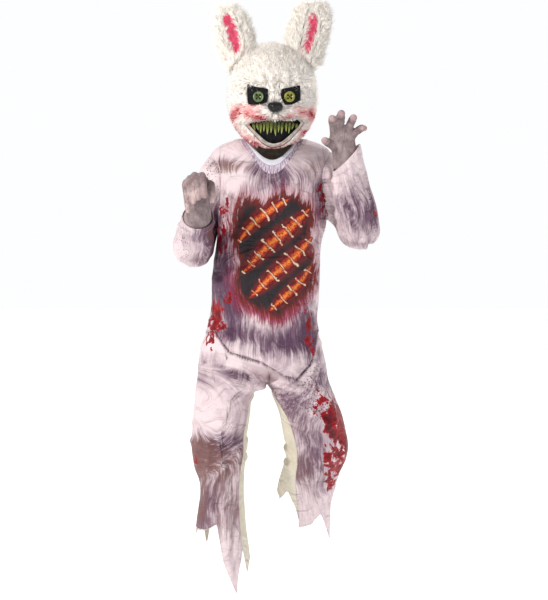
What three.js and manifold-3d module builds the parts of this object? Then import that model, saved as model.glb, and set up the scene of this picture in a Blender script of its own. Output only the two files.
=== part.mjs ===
// Child's zombie bunny costume: printed top and trousers, furry bunny mask and two gloves.
// Units are millimetres. X is the viewer's right, the front faces -Y and Z is up.
// The origin is the middle of the neck opening at the shoulder line.
import * as THREE from 'three';
import { mergeVertices } from 'three/addons/utils/BufferGeometryUtils.js';
import Module from 'manifold-3d';

const wasm = await Module();
wasm.setup();

// Driving dimensions
const clothWall = 2;
const gloveWall = 1.6;
const maskWall = 12;
const seamGap = 0.3;
const halfGap = seamGap / 2;
const boxiness = 2.35;
const neckHole = { halfWidth: 64, halfDepth: 67, centreY: -14, bandWidth: 13, bandLowZ: -90, sides: 40 };
const waist = { topZ: -392, bandHeight: 26 };
const trousers = { splitX: -14, topZ: -380, cutZ: -1125, lowZ: -1200 };
const hemCut = { z: -610, height: 30 };

// How finely the forms are built
const torsoSides = 32;
const legSides = 22;
const sleeveSides = 18;
const maskSides = 28;
const earSides = 18;
const fingerSides = 6;
const palmSides = 12;
const simplifyWithin = 0.1;

// Farther out than any piece, and how far a hollow runs past an open end
const far = 400;
const runOut = { trousers: 10, legs: 2, sleeve: 4, glove: 6, mask: 10 };

// Sections of the top from the neck down to the hem: height, side edges, front and back
const topSections = [
  { z: 18, left: -88, right: 84, front: -30, back: 36 },
  { z: 8, left: -120, right: 118, front: -46, back: 56 },
  { z: -8, left: -147, right: 145, front: -64, back: 76 },
  { z: -30, left: -160, right: 152, front: -78, back: 92 },
  { z: -60, left: -156, right: 151, front: -90, back: 102 },
  { z: -100, left: -145, right: 147, front: -101, back: 110 },
  { z: -150, left: -139, right: 143, front: -109, back: 113 },
  { z: -205, left: -140, right: 139, front: -112, back: 110 },
  { z: -250, left: -144, right: 127, front: -111, back: 105 },
  { z: -300, left: -151, right: 124, front: -109, back: 101 },
  { z: -350, left: -156, right: 123, front: -109, back: 102 },
  { z: -400, left: -157, right: 121, front: -112, back: 108 },
  { z: -450, left: -164, right: 117, front: -117, back: 113 },
  { z: -478, left: -172, right: 122, front: -121, back: 117 },
  { z: -510, left: -187, right: 131, front: -126, back: 120 },
  { z: -550, left: -196, right: 141, front: -132, back: 122 },
  { z: -610, left: -203, right: 156, front: -139, back: 124 },
];

// Sections of the trousers above the crotch, inside the top's hem
const hipSections = [
  { z: waist.topZ, left: -146, right: 110, front: -100, back: 96 },
  { z: -420, left: -152, right: 110, front: -106, back: 102 },
  { z: -450, left: -161.4, right: 114.4, front: -114, back: 110 },
  { z: -478, left: -169.4, right: 119.4, front: -118, back: 114 },
  { z: -510, left: -183, right: 127, front: -120, back: 116 },
  { z: -550, left: -190, right: 137, front: -122, back: 117 },
  { z: -586, left: -194, right: 144, front: -122, back: 117 },
  { z: -613, left: -195, right: 148, front: -121, back: 115 },
];

// Sections of each trouser leg from inside the hip down past the ragged hem;
// seam is the direction of the inside-leg seam in degrees around
const leftLegSections = [
  { z: -575, left: -182, right: -34, front: -98, back: 90, seam: 0 },
  { z: -613, left: -196, right: -38, front: -113, back: 106, seam: -4 },
  { z: -640, left: -200, right: -48, front: -122, back: 94, seam: -14 },
  { z: -690, left: -204, right: -57, front: -134, back: 66, seam: -25 },
  { z: -740, left: -207, right: -64, front: -146, back: 32, seam: -31 },
  { z: -780, left: -206, right: -63, front: -154, back: 8, seam: -33 },
  { z: -820, left: -197, right: -70, front: -160, back: -6, seam: -35 },
  { z: -870, left: -188, right: -73, front: -172, back: -16, seam: -38 },
  { z: -920, left: -190, right: -71, front: -188, back: -22, seam: -39 },
  { z: -970, left: -194, right: -66, front: -204, back: -30, seam: -40 },
  { z: -1030, left: -192, right: -58, front: -216, back: -40, seam: -40 },
  { z: -1130, left: -182, right: -50, front: -226, back: -56, seam: -40 },
];

const rightLegSections = [
  { z: -575, left: -20, right: 124, front: -92, back: 88, seam: 180 },
  { z: -613, left: -8, right: 149, front: -110, back: 106, seam: 184 },
  { z: -640, left: 0, right: 160, front: -116, back: 112, seam: 202 },
  { z: -690, left: 18, right: 180, front: -108, back: 116, seam: 222 },
  { z: -740, left: 27, right: 193, front: -92, back: 116, seam: 231 },
  { z: -785, left: 33, right: 200, front: -72, back: 120, seam: 234 },
  { z: -825, left: 34, right: 194, front: -50, back: 130, seam: 236 },
  { z: -860, left: 25, right: 180, front: -24, back: 142, seam: 242 },
  { z: -910, left: 13, right: 170, front: 8, back: 162, seam: 252 },
  { z: -960, left: 10, right: 160, front: 30, back: 182, seam: 260 },
  { z: -1010, left: 12, right: 157, front: 44, back: 196, seam: 262 },
  { z: -1070, left: 14, right: 155, front: 56, back: 208, seam: 262 },
];

// Folds that shape a wall: centre and half width in degrees around, heights, and depth
const topFolds = [
  { at: 205, spread: 24, high: -250, low: -470, depth: -7 },
  { at: 232, spread: 16, high: -330, low: -520, depth: 5 },
  { at: 330, spread: 22, high: -180, low: -360, depth: -6 },
  { at: 308, spread: 16, high: -300, low: -520, depth: 5 },
  { at: 150, spread: 24, high: -200, low: -420, depth: -6 },
  { at: 40, spread: 24, high: -240, low: -460, depth: -6 },
  { at: 95, spread: 20, high: -120, low: -400, depth: -5 },
];

const leftLegFolds = [
  { at: 225, spread: 26, high: -640, low: -860, depth: -7 },
  { at: 290, spread: 24, high: -700, low: -960, depth: -6 },
  { at: 170, spread: 30, high: -760, low: -960, depth: -7 },
  { at: 90, spread: 34, high: -700, low: -1000, depth: -7 },
];

const rightLegFolds = [
  { at: 250, spread: 26, high: -640, low: -840, depth: -7 },
  { at: 315, spread: 24, high: -680, low: -900, depth: -7 },
  { at: 5, spread: 26, high: -800, low: -1000, depth: -7 },
  { at: 100, spread: 34, high: -700, low: -1000, depth: -7 },
];

// Stations along each sleeve: centre, half sizes across and through, and lean of the end
const sleeveStations = {};
sleeveStations.left = [
  { x: -70, y: 4, z: -60, across: 60, through: 56, lean: 0 },
  { x: -112, y: 6, z: -66, across: 61, through: 60, lean: 0 },
  { x: -138, y: 8, z: -90, across: 57, through: 60, lean: 0 },
  { x: -158, y: 12, z: -130, across: 49, through: 56, lean: 0 },
  { x: -177, y: 16, z: -174, across: 50, through: 54, lean: 0 },
  { x: -192, y: 12, z: -214, across: 52, through: 51, lean: 0 },
  { x: -199, y: -12, z: -246, across: 52, through: 50, lean: 0 },
  { x: -201, y: -46, z: -259, across: 52, through: 49, lean: 0 },
  { x: -198, y: -82, z: -249, across: 51, through: 47, lean: 0 },
  { x: -194, y: -112, z: -229, across: 48, through: 45, lean: 0 },
  { x: -189, y: -150, z: -203, across: 44, through: 41, lean: 0 },
  { x: -183, y: -190, z: -177, across: 39, through: 37, lean: -0.1 },
];

sleeveStations.right = [
  { x: 66, y: 8, z: -94, across: 80, through: 64, lean: 0 },
  { x: 118, y: 10, z: -97, across: 86, through: 68, lean: 0 },
  { x: 154, y: 14, z: -108, across: 86, through: 66, lean: 0 },
  { x: 188, y: 26, z: -134, across: 76, through: 58, lean: 0 },
  { x: 213, y: 34, z: -172, across: 63, through: 53, lean: 0 },
  { x: 223, y: 14, z: -202, across: 56, through: 50, lean: 0 },
  { x: 224, y: -18, z: -216, across: 54, through: 49, lean: 0 },
  { x: 222, y: -52, z: -204, across: 54, through: 49, lean: 0 },
  { x: 214, y: -80, z: -172, across: 53, through: 48, lean: 0 },
  { x: 203, y: -98, z: -122, across: 48, through: 45, lean: 0.1 },
  { x: 194, y: -110, z: -74, across: 43, through: 41, lean: 0.35 },
  { x: 186, y: -120, z: -31, across: 40, through: 38, lean: 0.7 },
];

// Sections of the mask from its open back to the tip of the muzzle, seen from the front
const maskSections = [
  { y: 46, x: 1, z: 122, wide: 100, up: 122, down: 100 },
  { y: 14, x: 1, z: 122, wide: 110, up: 136, down: 122 },
  { y: -20, x: 1, z: 122, wide: 115, up: 138, down: 132 },
  { y: -54, x: 1, z: 120, wide: 113, up: 126, down: 133 },
  { y: -84, x: 2, z: 114, wide: 100, up: 104, down: 126 },
  { y: -108, x: 4, z: 104, wide: 78, up: 76, down: 108 },
  { y: -126, x: 6, z: 88, wide: 54, up: 46, down: 80 },
  { y: -137, x: 7, z: 79, wide: 30, up: 26, down: 50 },
  { y: -141, x: 7, z: 77, wide: 10, up: 9, down: 18 },
];
const maskBackY = 40;
const muzzleY = -97;
const muzzleTipY = -141;
const muzzleInset = 0.75;
const smallestRing = 3;
const maskNeck = { halfWidth: 60, halfDepth: 66, centreY: 12, bottom: -60, top: 70, sides: 28 };

// Outlines on the mask, seen from the front as x and z
const leftEyeOutline = [[-62, 152], [-40, 145], [-11, 140], [-13, 107], [-34, 101], [-60, 103]];
const rightEyeOutline = [[24, 139], [46, 144], [70, 149], [70, 112], [50, 101], [32, 101], [22, 122]];
const mouthOutline = [[-55, 53], [-20, 60], [30, 62], [58, 64], [70, 55], [46, 28], [24, 10], [3, 5],
  [-14, 11], [-36, 30]];
const mouthCentre = [4, 42];
const lip = { width: 10, upperWidth: 3, topZ: 56, innerGrow: 0.5 };
const eyePadRise = 3;
const button = { radius: 13.5, thickness: 4.5, sides: 20, holeRadius: 1.7, holeOffset: 4.2, holeSides: 6 };
const leftButton = { x: -34, z: 120 };
const rightButton = { x: 44, z: 120 };
const nose = { x: 8, y: -128, z: 94, wide: 19, deep: 30, tall: 14 };
const rimRise = 4;
const lining = { grow: 12, thickness: 2.5, backY: -70 };
const teeth = {
  count: 11, fromX: -44, toX: 60, gumZ: 49, middleX: 8, halfRow: 58, longest: 27, shorter: 17, step: 5,
  outerLift: -3, innerLift: -9,
};
const strap = { x: 1, y: 46, halfWidth: 101, halfDepth: 86, fromZ: 108, toZ: 132, thickness: 1.8, steps: 20 };
const strapStartY = 15;

// Ear sections from the root to the tip, seen from the front
const leftEarSections = [
  { z: 178, left: -100, right: -44, front: -34, back: 6 },
  { z: 205, left: -125, right: -46, front: -36, back: 4 },
  { z: 231, left: -138, right: -42, front: -37, back: 0 },
  { z: 258, left: -146, right: -42, front: -37, back: -3 },
  { z: 291, left: -153, right: -50, front: -36, back: -5 },
  { z: 322, left: -154, right: -64, front: -34, back: -7 },
  { z: 342, left: -145, right: -80, front: -32, back: -9 },
  { z: 356, left: -130, right: -92, front: -28, back: -13 },
];

const rightEarSections = [
  { z: 178, left: 46, right: 98, front: -34, back: 6 },
  { z: 205, left: 42, right: 120, front: -36, back: 4 },
  { z: 231, left: 37, right: 131, front: -37, back: 0 },
  { z: 256, left: 34, right: 139, front: -37, back: -3 },
  { z: 284, left: 35, right: 145, front: -36, back: -5 },
  { z: 312, left: 46, right: 150, front: -34, back: -7 },
  { z: 338, left: 58, right: 146, front: -32, back: -8 },
  { z: 355, left: 72, right: 136, front: -30, back: -11 },
  { z: 364, left: 88, right: 118, front: -26, back: -15 },
];

const leftLiningOutline = [[-122, 322], [-108, 330], [-92, 300], [-80, 256], [-78, 232], [-94, 228],
  [-110, 262], [-121, 296]];
const rightLiningOutline = [[98, 332], [110, 326], [114, 300], [104, 262], [92, 232], [78, 234],
  [84, 272], [90, 306]];
const earLiningRise = 2;
const earFrontY = -20;

// Fingers of each glove: root, bent knuckle, tip and radius
const fingerEnd = { root: 4, tip: 3, radius: 1.2 };
const leftFingers = [
  { root: [-209, -206, -98], bend: [-209, -238, -102], tip: [-203, -250, -167], radius: 9 },
  { root: [-200, -208, -90], bend: [-198, -244, -90], tip: [-189, -258, -146], radius: 9.5 },
  { root: [-188, -209, -84], bend: [-186, -248, -82], tip: [-177, -263, -136], radius: 10 },
  { root: [-171, -208, -84], bend: [-169, -246, -82], tip: [-162, -260, -132], radius: 10 },
  { root: [-158, -198, -112], bend: [-150, -222, -98], tip: [-143, -240, -142], radius: 10 },
];

const rightFingers = [
  { root: [155, -134, 26], bend: [150, -158, 58], tip: [148, -186, 64], radius: 10.5 },
  { root: [169, -136, 32], bend: [170, -162, 68], tip: [171, -192, 76], radius: 10.5 },
  { root: [184, -134, 26], bend: [197, -160, 58], tip: [202, -188, 66], radius: 10 },
  { root: [193, -131, 12], bend: [216, -152, 38], tip: [230, -176, 38], radius: 9.5 },
  { root: [158, -130, -8], bend: [139, -148, 6], tip: [128, -166, 12], radius: 10.5 },
];

// Ragged hem outlines as x and z, running from the left side to the right side
const topFrontHem = [[-far, -474], [-172, -478], [-146, -468], [-109, -519], [-70, -531], [-26, -543],
  [29, -577], [62, -587], [98, -552], [112, -512], [118, -470], [far, -466]];
const topBackHem = [[-far, -476], [-172, -478], [-120, -520], [-60, -538], [0, -532], [60, -540],
  [100, -506], [126, -474], [far, -470]];
const leftLegFrontHem = [[-far, -962], [-192, -964], [-160, -958], [-140, -946], [-136, -950], [-122, -1036],
  [-88, -1116], [-82, -1060], [-72, -1000], [far, -990]];
const leftLegBackHem = [[-far, -986], [-196, -988], [-182, -960], [-170, -1030], [-160, -966], [-128, -990],
  [-100, -984], [-78, -1000], [-60, -1074], [-70, -1020], [-46, -1044], [-40, -980], [far, -980]];
const rightLegFrontHem = [[-far, -1004], [84, -1006], [104, -998], [128, -968], [140, -996], [156, -1050],
  [160, -1010], [far, -1010]];
const rightLegBackHem = [[-far, -900], [10, -905], [20, -932], [40, -904], [62, -950], [78, -1018],
  [90, -980], [120, -952], [150, -1000], [170, -976], [far, -976]];

// Colours
const looks = {
  print: { color: 0xd9cbd2, roughness: 0.6 },
  plain: { color: 0xe6dccb, roughness: 0.65 },
  rib: { color: 0xe4e0ea, roughness: 0.7 },
  fur: { color: 0xf1e9e2, roughness: 0.95 },
  pink: { color: 0xf0607e, roughness: 0.8 },
  felt: { color: 0x141212, roughness: 0.9 },
  leftButton: { color: 0x7f9a3f, roughness: 0.3 },
  rightButton: { color: 0xb5a535, roughness: 0.3 },
  nose: { color: 0x0c0c0e, roughness: 0.3 },
  rim: { color: 0xbdb5ab, roughness: 0.5 },
  teeth: { color: 0x8a9a3c, roughness: 0.45 },
  elastic: { color: 0xf4f2ee, roughness: 0.8 },
  glove: { color: 0x93827f, roughness: 0.8 },
};

// Cubic interpolation of every column of a table at a value of its key column
function sampleTable(table, key, value) {
  const rising = table[1][key] > table[0][key];
  let index = 0;
  const passed = (row) => (rising ? value > row[key] : value < row[key]);
  while (index < table.length - 2 && passed(table[index + 1])) {
    index += 1;
  }
  const [start, end] = [table[index], table[index + 1]];
  const before = table[Math.max(index - 1, 0)];
  const after = table[Math.min(index + 2, table.length - 1)];
  const span = end[key] - start[key];
  const t = THREE.MathUtils.clamp((value - start[key]) / span, 0, 1);
  const result = {};
  for (const name of Object.keys(start)) {
    const startSlope = (end[name] - before[name]) / (end[key] - before[key]) * span;
    const endSlope = (after[name] - start[name]) / (after[key] - start[key]) * span;
    const [a, b] = [start[name], end[name]];
    const [t2, t3] = [t * t, t * t * t];
    result[name] = (2 * t3 - 3 * t2 + 1) * a + (t3 - 2 * t2 + t) * startSlope
      + (3 * t2 - 2 * t3) * b + (t3 - t2) * endSlope;
  }
  result[key] = value;
  return result;
}

// Cosine or sine pulled outward, which makes an ellipse squarer
const squared = (value) => Math.sign(value) * Math.abs(value) ** (2 / boxiness);

// Sum of the folds that cross a height and a direction, positive outward
function foldDepth(folds, degrees, z) {
  let depth = 0;
  for (const fold of folds) {
    const turn = Math.abs(((degrees - fold.at + 540) % 360) - 180) / fold.spread;
    const rise = Math.abs(z - (fold.high + fold.low) / 2) / ((fold.high - fold.low) / 2);
    if (turn < 1 && rise < 1) {
      depth += fold.depth * Math.cos(turn * Math.PI / 2) ** 2 * Math.cos(rise * Math.PI / 2) ** 2;
    }
  }
  return depth;
}

// One level ring of a garment, grown outward by a distance
function levelRing(section, sides, grow, folds) {
  const middleX = (section.left + section.right) / 2;
  const middleY = (section.front + section.back) / 2;
  const wide = (section.right - section.left) / 2;
  const deep = (section.back - section.front) / 2;
  const ring = [];
  for (let side = 0; side < sides; side += 1) {
    const turn = side / sides * 2 * Math.PI;
    const extra = grow + foldDepth(folds, turn * 180 / Math.PI, section.z);
    ring.push(new THREE.Vector3(
      middleX + (wide + extra) * squared(Math.cos(turn)),
      middleY + (deep + extra) * squared(Math.sin(turn)),
      section.z,
    ));
  }
  return ring;
}

function levelRings(table, heights, sides, grow = 0, folds = []) {
  return heights.map((z) => levelRing(sampleTable(table, 'z', z), sides, grow, folds));
}

function raiseRing(ring, height) {
  for (const point of ring) {
    point.z += height;
  }
}

// Centres and axes along a sleeve or palm, carried from station to station without twisting
function stationFrames(stations, startAcross = [0, 0, 1]) {
  const centres = stations.map((station) => new THREE.Vector3(station.x, station.y, station.z));
  const frames = [];
  let across = new THREE.Vector3(...startAcross);
  for (let index = 0; index < centres.length; index += 1) {
    const before = centres[Math.max(index - 1, 0)];
    const after = centres[Math.min(index + 1, centres.length - 1)];
    const along = after.clone().sub(before).normalize();
    across = across.clone().addScaledVector(along, -across.dot(along)).normalize();
    const through = along.clone().cross(across).normalize();
    frames.push({ centre: centres[index], along, across, through });
  }
  return frames;
}

// Rings around a sleeve or palm, grown by a distance, with the open end drawn out for a clean cut
function sleeveRings(stations, sides, grow, drawnOut = 0, startAcross = [0, 0, 1]) {
  const frames = stationFrames(stations, startAcross);
  return frames.map((frame, index) => {
    const station = stations[index];
    const pull = index === frames.length - 1 ? drawnOut : 0;
    const ring = [];
    for (let side = 0; side < sides; side += 1) {
      const turn = side / sides * 2 * Math.PI;
      const offset = (station.across + grow) * Math.cos(turn);
      const point = frame.centre.clone().addScaledVector(frame.across, offset);
      point.addScaledVector(frame.through, (station.through + grow) * Math.sin(turn));
      point.addScaledVector(frame.along, pull + station.lean * offset);
      ring.push(point);
    }
    return ring;
  });
}

// Rings of the mask in planes facing the front, from the back to the muzzle.
// In front of muzzleY a growth also moves the rings forward, more so toward the tip.
function maskRings(grow, backY = maskBackY) {
  const depths = [backY, 10, -24, -54, -78, muzzleY, -113, -126, -135, muzzleTipY];
  return depths.map((y) => {
    const section = sampleTable(maskSections, 'y', Math.min(y, maskBackY));
    const ring = [];
    for (let side = 0; side < maskSides; side += 1) {
      const turn = side / maskSides * 2 * Math.PI;
      const tall = Math.sin(turn) > 0 ? section.up : section.down;
      const inset = grow < 0 && y < muzzleY ? grow * muzzleInset : grow;
      const forward = grow * Math.max(muzzleY - y, 0) / (muzzleY - muzzleTipY);
      ring.push(new THREE.Vector3(
        section.x + Math.max(section.wide + inset, smallestRing) * Math.cos(turn),
        y - forward,
        section.z + Math.max(tall + inset, smallestRing) * Math.sin(turn),
      ));
    }
    return ring;
  });
}

// Closed skin over a stack of rings, with a fan over each end
function skinRings(rings) {
  const sides = rings[0].length;
  const positions = [];
  for (const ring of rings) {
    for (const point of ring) {
      positions.push(point.x, point.y, point.z);
    }
  }
  const index = [];
  for (let row = 0; row < rings.length - 1; row += 1) {
    for (let side = 0; side < sides; side += 1) {
      const next = (side + 1) % sides;
      const [a, b] = [row * sides + side, row * sides + next];
      const [c, d] = [a + sides, b + sides];
      index.push(a, d, b, a, c, d);
    }
  }
  for (const [row, flip] of [[0, false], [rings.length - 1, true]]) {
    const middle = rings[row].reduce((sum, point) => sum.add(point), new THREE.Vector3());
    middle.divideScalar(sides);
    const hub = positions.length / 3;
    positions.push(middle.x, middle.y, middle.z);
    for (let side = 0; side < sides; side += 1) {
      const [here, next] = [row * sides + side, row * sides + (side + 1) % sides];
      index.push(hub, flip ? next : here, flip ? here : next);
    }
  }
  const geometry = new THREE.BufferGeometry();
  geometry.setAttribute('position', new THREE.Float32BufferAttribute(positions, 3));
  geometry.setIndex(index);
  return geometry;
}

// A closed geometry as a solid; a skin that came out inside out is turned round
function solidOf(geometry) {
  const bare = geometry.clone();
  bare.deleteAttribute('normal');
  bare.deleteAttribute('uv');
  const merged = mergeVertices(bare, 1e-4);
  const triangles = Uint32Array.from(merged.index.array);
  const vertices = Float32Array.from(merged.attributes.position.array);
  const build = () => new wasm.Mesh({ numProp: 3, vertProperties: vertices, triVerts: triangles });
  const solid = new wasm.Manifold(build());
  if (solid.volume() > 0) {
    return solid;
  }
  for (let corner = 0; corner < triangles.length; corner += 3) {
    [triangles[corner], triangles[corner + 1]] = [triangles[corner + 1], triangles[corner]];
  }
  return new wasm.Manifold(build());
}

const skinSolid = (rings) => solidOf(skinRings(rings));

// The largest body of a cut, which drops slivers left beside a seam
function mainBody(solid) {
  return solid.simplify(simplifyWithin).decompose().sort((a, b) => b.volume() - a.volume())[0];
}

// A flat outline in x and z pushed from one depth to another
function frontPrism(outline, fromY, toY) {
  const shape = new THREE.Shape(outline.map(([x, z]) => new THREE.Vector2(x, z)));
  const geometry = new THREE.ExtrudeGeometry(shape, { depth: toY - fromY, bevelEnabled: false });
  geometry.rotateX(Math.PI / 2);
  geometry.translate(0, toY, 0);
  return solidOf(geometry);
}

// A flat outline in x and y pushed from one height to another
function upPrism(outline, fromZ, toZ) {
  const shape = new THREE.Shape(outline.map(([x, y]) => new THREE.Vector2(x, y)));
  const geometry = new THREE.ExtrudeGeometry(shape, { depth: toZ - fromZ, bevelEnabled: false });
  geometry.translate(0, 0, fromZ);
  return solidOf(geometry);
}

// All of space between two heights, as far out as any piece reaches
function slab(fromZ, toZ) {
  const box = new THREE.BoxGeometry(2 * far, 2 * far, toZ - fromZ);
  return solidOf(box.translate(0, 0, (fromZ + toZ) / 2));
}

// What a hem line keeps: everything above it
const aboveHem = (hem) => [...hem, [far, far], [-far, far]];

// An upright elliptical plug through the neck opening
function neckPlug(grow) {
  const geometry = new THREE.CylinderGeometry(1, 1, far, neckHole.sides);
  geometry.rotateX(Math.PI / 2);
  geometry.scale(neckHole.halfWidth + grow, neckHole.halfDepth + grow, 1);
  geometry.translate(0, neckHole.centreY, 0);
  return solidOf(geometry);
}

function addMesh(group, name, solid, look) {
  const data = solid.getMesh();
  const geometry = new THREE.BufferGeometry();
  geometry.setAttribute('position', new THREE.Float32BufferAttribute(data.vertProperties, 3));
  geometry.setIndex(Array.from(data.triVerts));
  geometry.computeVertexNormals();
  const mesh = new THREE.Mesh(geometry, new THREE.MeshStandardMaterial({ ...look, metalness: 0 }));
  mesh.name = name;
  group.add(mesh);
}

// Top: body, neckband and sleeves; the hollow stops short of the flat shoulders beside the neck
const topHeights = [
  18, 8, -8, -30, -60, -100, -150, -205, -260, -320, -385, -450, -478, -510, -550, hemCut.z,
];

function torsoSolid(grow) {
  return skinSolid(levelRings(topSections, topHeights, torsoSides, grow, topFolds));
}

function buildTop(group) {
  const outer = torsoSolid(0);
  const innerRings = levelRings(topSections, topHeights, torsoSides, -clothWall, topFolds);
  raiseRing(innerRings[0], -clothWall);
  const inner = skinSolid(innerRings);
  const shadow = torsoSolid(seamGap);
  const hemOpening = slab(hemCut.z - hemCut.height / 2, hemCut.z + hemCut.height / 2);
  const leftFill = skinSolid(sleeveRings(sleeveStations.left, sleeveSides, seamGap));
  const rightFill = skinSolid(sleeveRings(sleeveStations.right, sleeveSides, seamGap));
  const wall = outer.subtract(inner).subtract(hemOpening);
  const body = wall.subtract(neckPlug(neckHole.bandWidth)).subtract(leftFill).subtract(rightFill);
  const front = body.intersect(frontPrism(aboveHem(topFrontHem), -far, -halfGap));
  const back = body.intersect(frontPrism(aboveHem(topBackHem), halfGap, far));
  addMesh(group, 'top_front', mainBody(front), looks.print);
  addMesh(group, 'top_back', mainBody(back), looks.plain);
  const upperWall = wall.intersect(slab(neckHole.bandLowZ, far));
  const band = upperWall.intersect(neckPlug(neckHole.bandWidth - seamGap)).subtract(neckPlug(0));
  addMesh(group, 'neckband', mainBody(band), looks.rib);
  for (const [side, stations] of Object.entries(sleeveStations)) {
    const tube = skinSolid(sleeveRings(stations, sleeveSides, 0));
    const hollow = skinSolid(sleeveRings(stations, sleeveSides, -clothWall, runOut.sleeve));
    addMesh(group, `sleeve_${side}`, mainBody(tube.subtract(hollow).subtract(shadow)), looks.print);
  }
}

// Trousers: two fronts, two backs and an elastic waistband
const hipHeights = [waist.topZ, -420, -450, -478, -510, -550, -586, -613];

// Hips and legs grown by a distance; the hollow's hip runs out at the waist and ends above the legs' fork
function trouserSolid(grow) {
  const hipRings = levelRings(hipSections, hipHeights, torsoSides, grow, topFolds);
  if (grow < 0) {
    raiseRing(hipRings[0], runOut.trousers);
    raiseRing(hipRings[hipRings.length - 1], runOut.legs);
  }
  let solid = skinSolid(hipRings);
  for (const [table, folds] of [[leftLegSections, leftLegFolds], [rightLegSections, rightLegFolds]]) {
    const heights = table.map((section) => section.z);
    solid = solid.add(skinSolid(levelRings(table, heights, legSides, grow, folds)));
  }
  return solid;
}

// The part of space in front of a leg's side seams, or behind them, with half the seam gap
function seamSide(table, innerIsRight, front) {
  const rings = table.map((section) => {
    const middleX = (section.left + section.right) / 2;
    const middleY = (section.front + section.back) / 2;
    const wide = (section.right - section.left) / 2;
    const deep = (section.back - section.front) / 2;
    const turn = THREE.MathUtils.degToRad(section.seam);
    const shift = front ? -halfGap : halfGap;
    const innerPoint = new THREE.Vector3(
      middleX + 2 * wide * Math.cos(turn),
      middleY + 2 * deep * Math.sin(turn) + shift,
      section.z,
    );
    const outerX = innerIsRight ? -far : far;
    const outerPoint = new THREE.Vector3(outerX, middleY + shift, section.z);
    const hub = new THREE.Vector3(middleX, middleY + shift, section.z);
    const farY = front ? -far : far;
    return [outerPoint, hub, innerPoint, innerPoint.clone().setY(farY), outerPoint.clone().setY(farY)];
  });
  return skinSolid(rings);
}

function buildTrousers(group) {
  const outer = trouserSolid(0);
  const wall = outer.subtract(trouserSolid(-clothWall));
  const seamZ = waist.topZ - waist.bandHeight;
  const waistband = wall.intersect(slab(seamZ + halfGap, waist.topZ - 1));
  addMesh(group, 'trouser_waistband', mainBody(waistband), looks.print);
  const lower = wall.intersect(slab(trousers.cutZ, seamZ - halfGap));
  const sides = [
    { name: 'left', table: leftLegSections, from: -far, to: trousers.splitX - halfGap, innerIsRight: true,
      frontHem: leftLegFrontHem, backHem: leftLegBackHem },
    { name: 'right', table: rightLegSections, from: trousers.splitX + halfGap, to: far, innerIsRight: false,
      frontHem: rightLegFrontHem, backHem: rightLegBackHem },
  ];
  for (const side of sides) {
    const corners = [[side.from, -far], [side.to, -far], [side.to, far], [side.from, far]];
    const leg = lower.intersect(upPrism(corners, trousers.lowZ, trousers.topZ));
    for (const front of [true, false]) {
      const hem = front ? side.frontHem : side.backHem;
      const table = [{ ...side.table[0], z: trousers.topZ }, ...side.table];
      const region = seamSide(table, side.innerIsRight, front);
      const piece = leg.intersect(region).intersect(frontPrism(aboveHem(hem), -far, far));
      const name = `trouser_${front ? 'front' : 'back'}_${side.name}`;
      addMesh(group, name, mainBody(piece), front ? looks.print : looks.plain);
    }
  }
}

// The space under the mask where the wearer's neck passes
function maskNeckPlug() {
  const geometry = new THREE.CylinderGeometry(1, 1, maskNeck.top - maskNeck.bottom, maskNeck.sides);
  geometry.rotateX(Math.PI / 2);
  geometry.scale(maskNeck.halfWidth, maskNeck.halfDepth, 1);
  geometry.translate(0, maskNeck.centreY, (maskNeck.top + maskNeck.bottom) / 2);
  return solidOf(geometry);
}

// Mask: shell, ears, face pieces and strap
const liftedMask = (rise) => skinSolid(maskRings(rise));

function buildMask(group) {
  const hollow = skinSolid(maskRings(-maskWall, maskBackY + runOut.mask));
  const mouthHole = frontPrism(mouthOutline, -far, 0);
  const shell = liftedMask(0).subtract(hollow).subtract(mouthHole);
  const trimmed = shell.subtract(maskNeckPlug()).subtract(torsoSolid(seamGap));
  addMesh(group, 'mask_face', mainBody(trimmed), looks.fur);
  buildEyes(group);
  const ball = new THREE.SphereGeometry(1, 16, 10).scale(nose.wide, nose.deep, nose.tall);
  ball.translate(nose.x, nose.y, nose.z);
  addMesh(group, 'nose', mainBody(solidOf(ball).subtract(liftedMask(seamGap))), looks.nose);
  buildMouth(group);
  buildEars(group);
  buildStrap(group, hollow);
}

// Flat pads on the face, each with a four-hole button on it
function buildEyes(group) {
  const padSkin = liftedMask(seamGap + eyePadRise).subtract(liftedMask(seamGap));
  const buttonBase = liftedMask(2 * seamGap + eyePadRise);
  const buttonFront = liftedMask(2 * seamGap + eyePadRise + button.thickness);
  const eyes = [['left', leftEyeOutline, leftButton], ['right', rightEyeOutline, rightButton]];
  for (const [side, outline, place] of eyes) {
    const pad = padSkin.intersect(frontPrism(outline, -far, 0));
    addMesh(group, `eye_pad_${side}`, mainBody(pad), looks.felt);
    let disc = rod(button.radius, button.sides, place.x, place.z).intersect(buttonFront).subtract(buttonBase);
    for (const [dx, dz] of [[-1, -1], [1, -1], [1, 1], [-1, 1]]) {
      const [x, z] = [place.x + dx * button.holeOffset, place.z + dz * button.holeOffset];
      disc = disc.subtract(rod(button.holeRadius, button.holeSides, x, z));
    }
    addMesh(group, `eye_button_${side}`, mainBody(disc), looks[`${side}Button`]);
  }
}

// A round rod along Y through the front of the mask
function rod(radius, sides, x, z) {
  const geometry = new THREE.CylinderGeometry(radius, radius, far / 2, sides);
  return solidOf(geometry.translate(x, -far / 4, z));
}

// The mouth outline with its points moved away from the mouth's centre
function grownMouth(distance, upperDistance = distance) {
  return mouthOutline.map(([x, z]) => {
    const reach = Math.hypot(x - mouthCentre[0], z - mouthCentre[1]);
    const scale = (reach + (z > lip.topZ ? upperDistance : distance)) / reach;
    return [mouthCentre[0] + (x - mouthCentre[0]) * scale, mouthCentre[1] + (z - mouthCentre[1]) * scale];
  });
}

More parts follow.
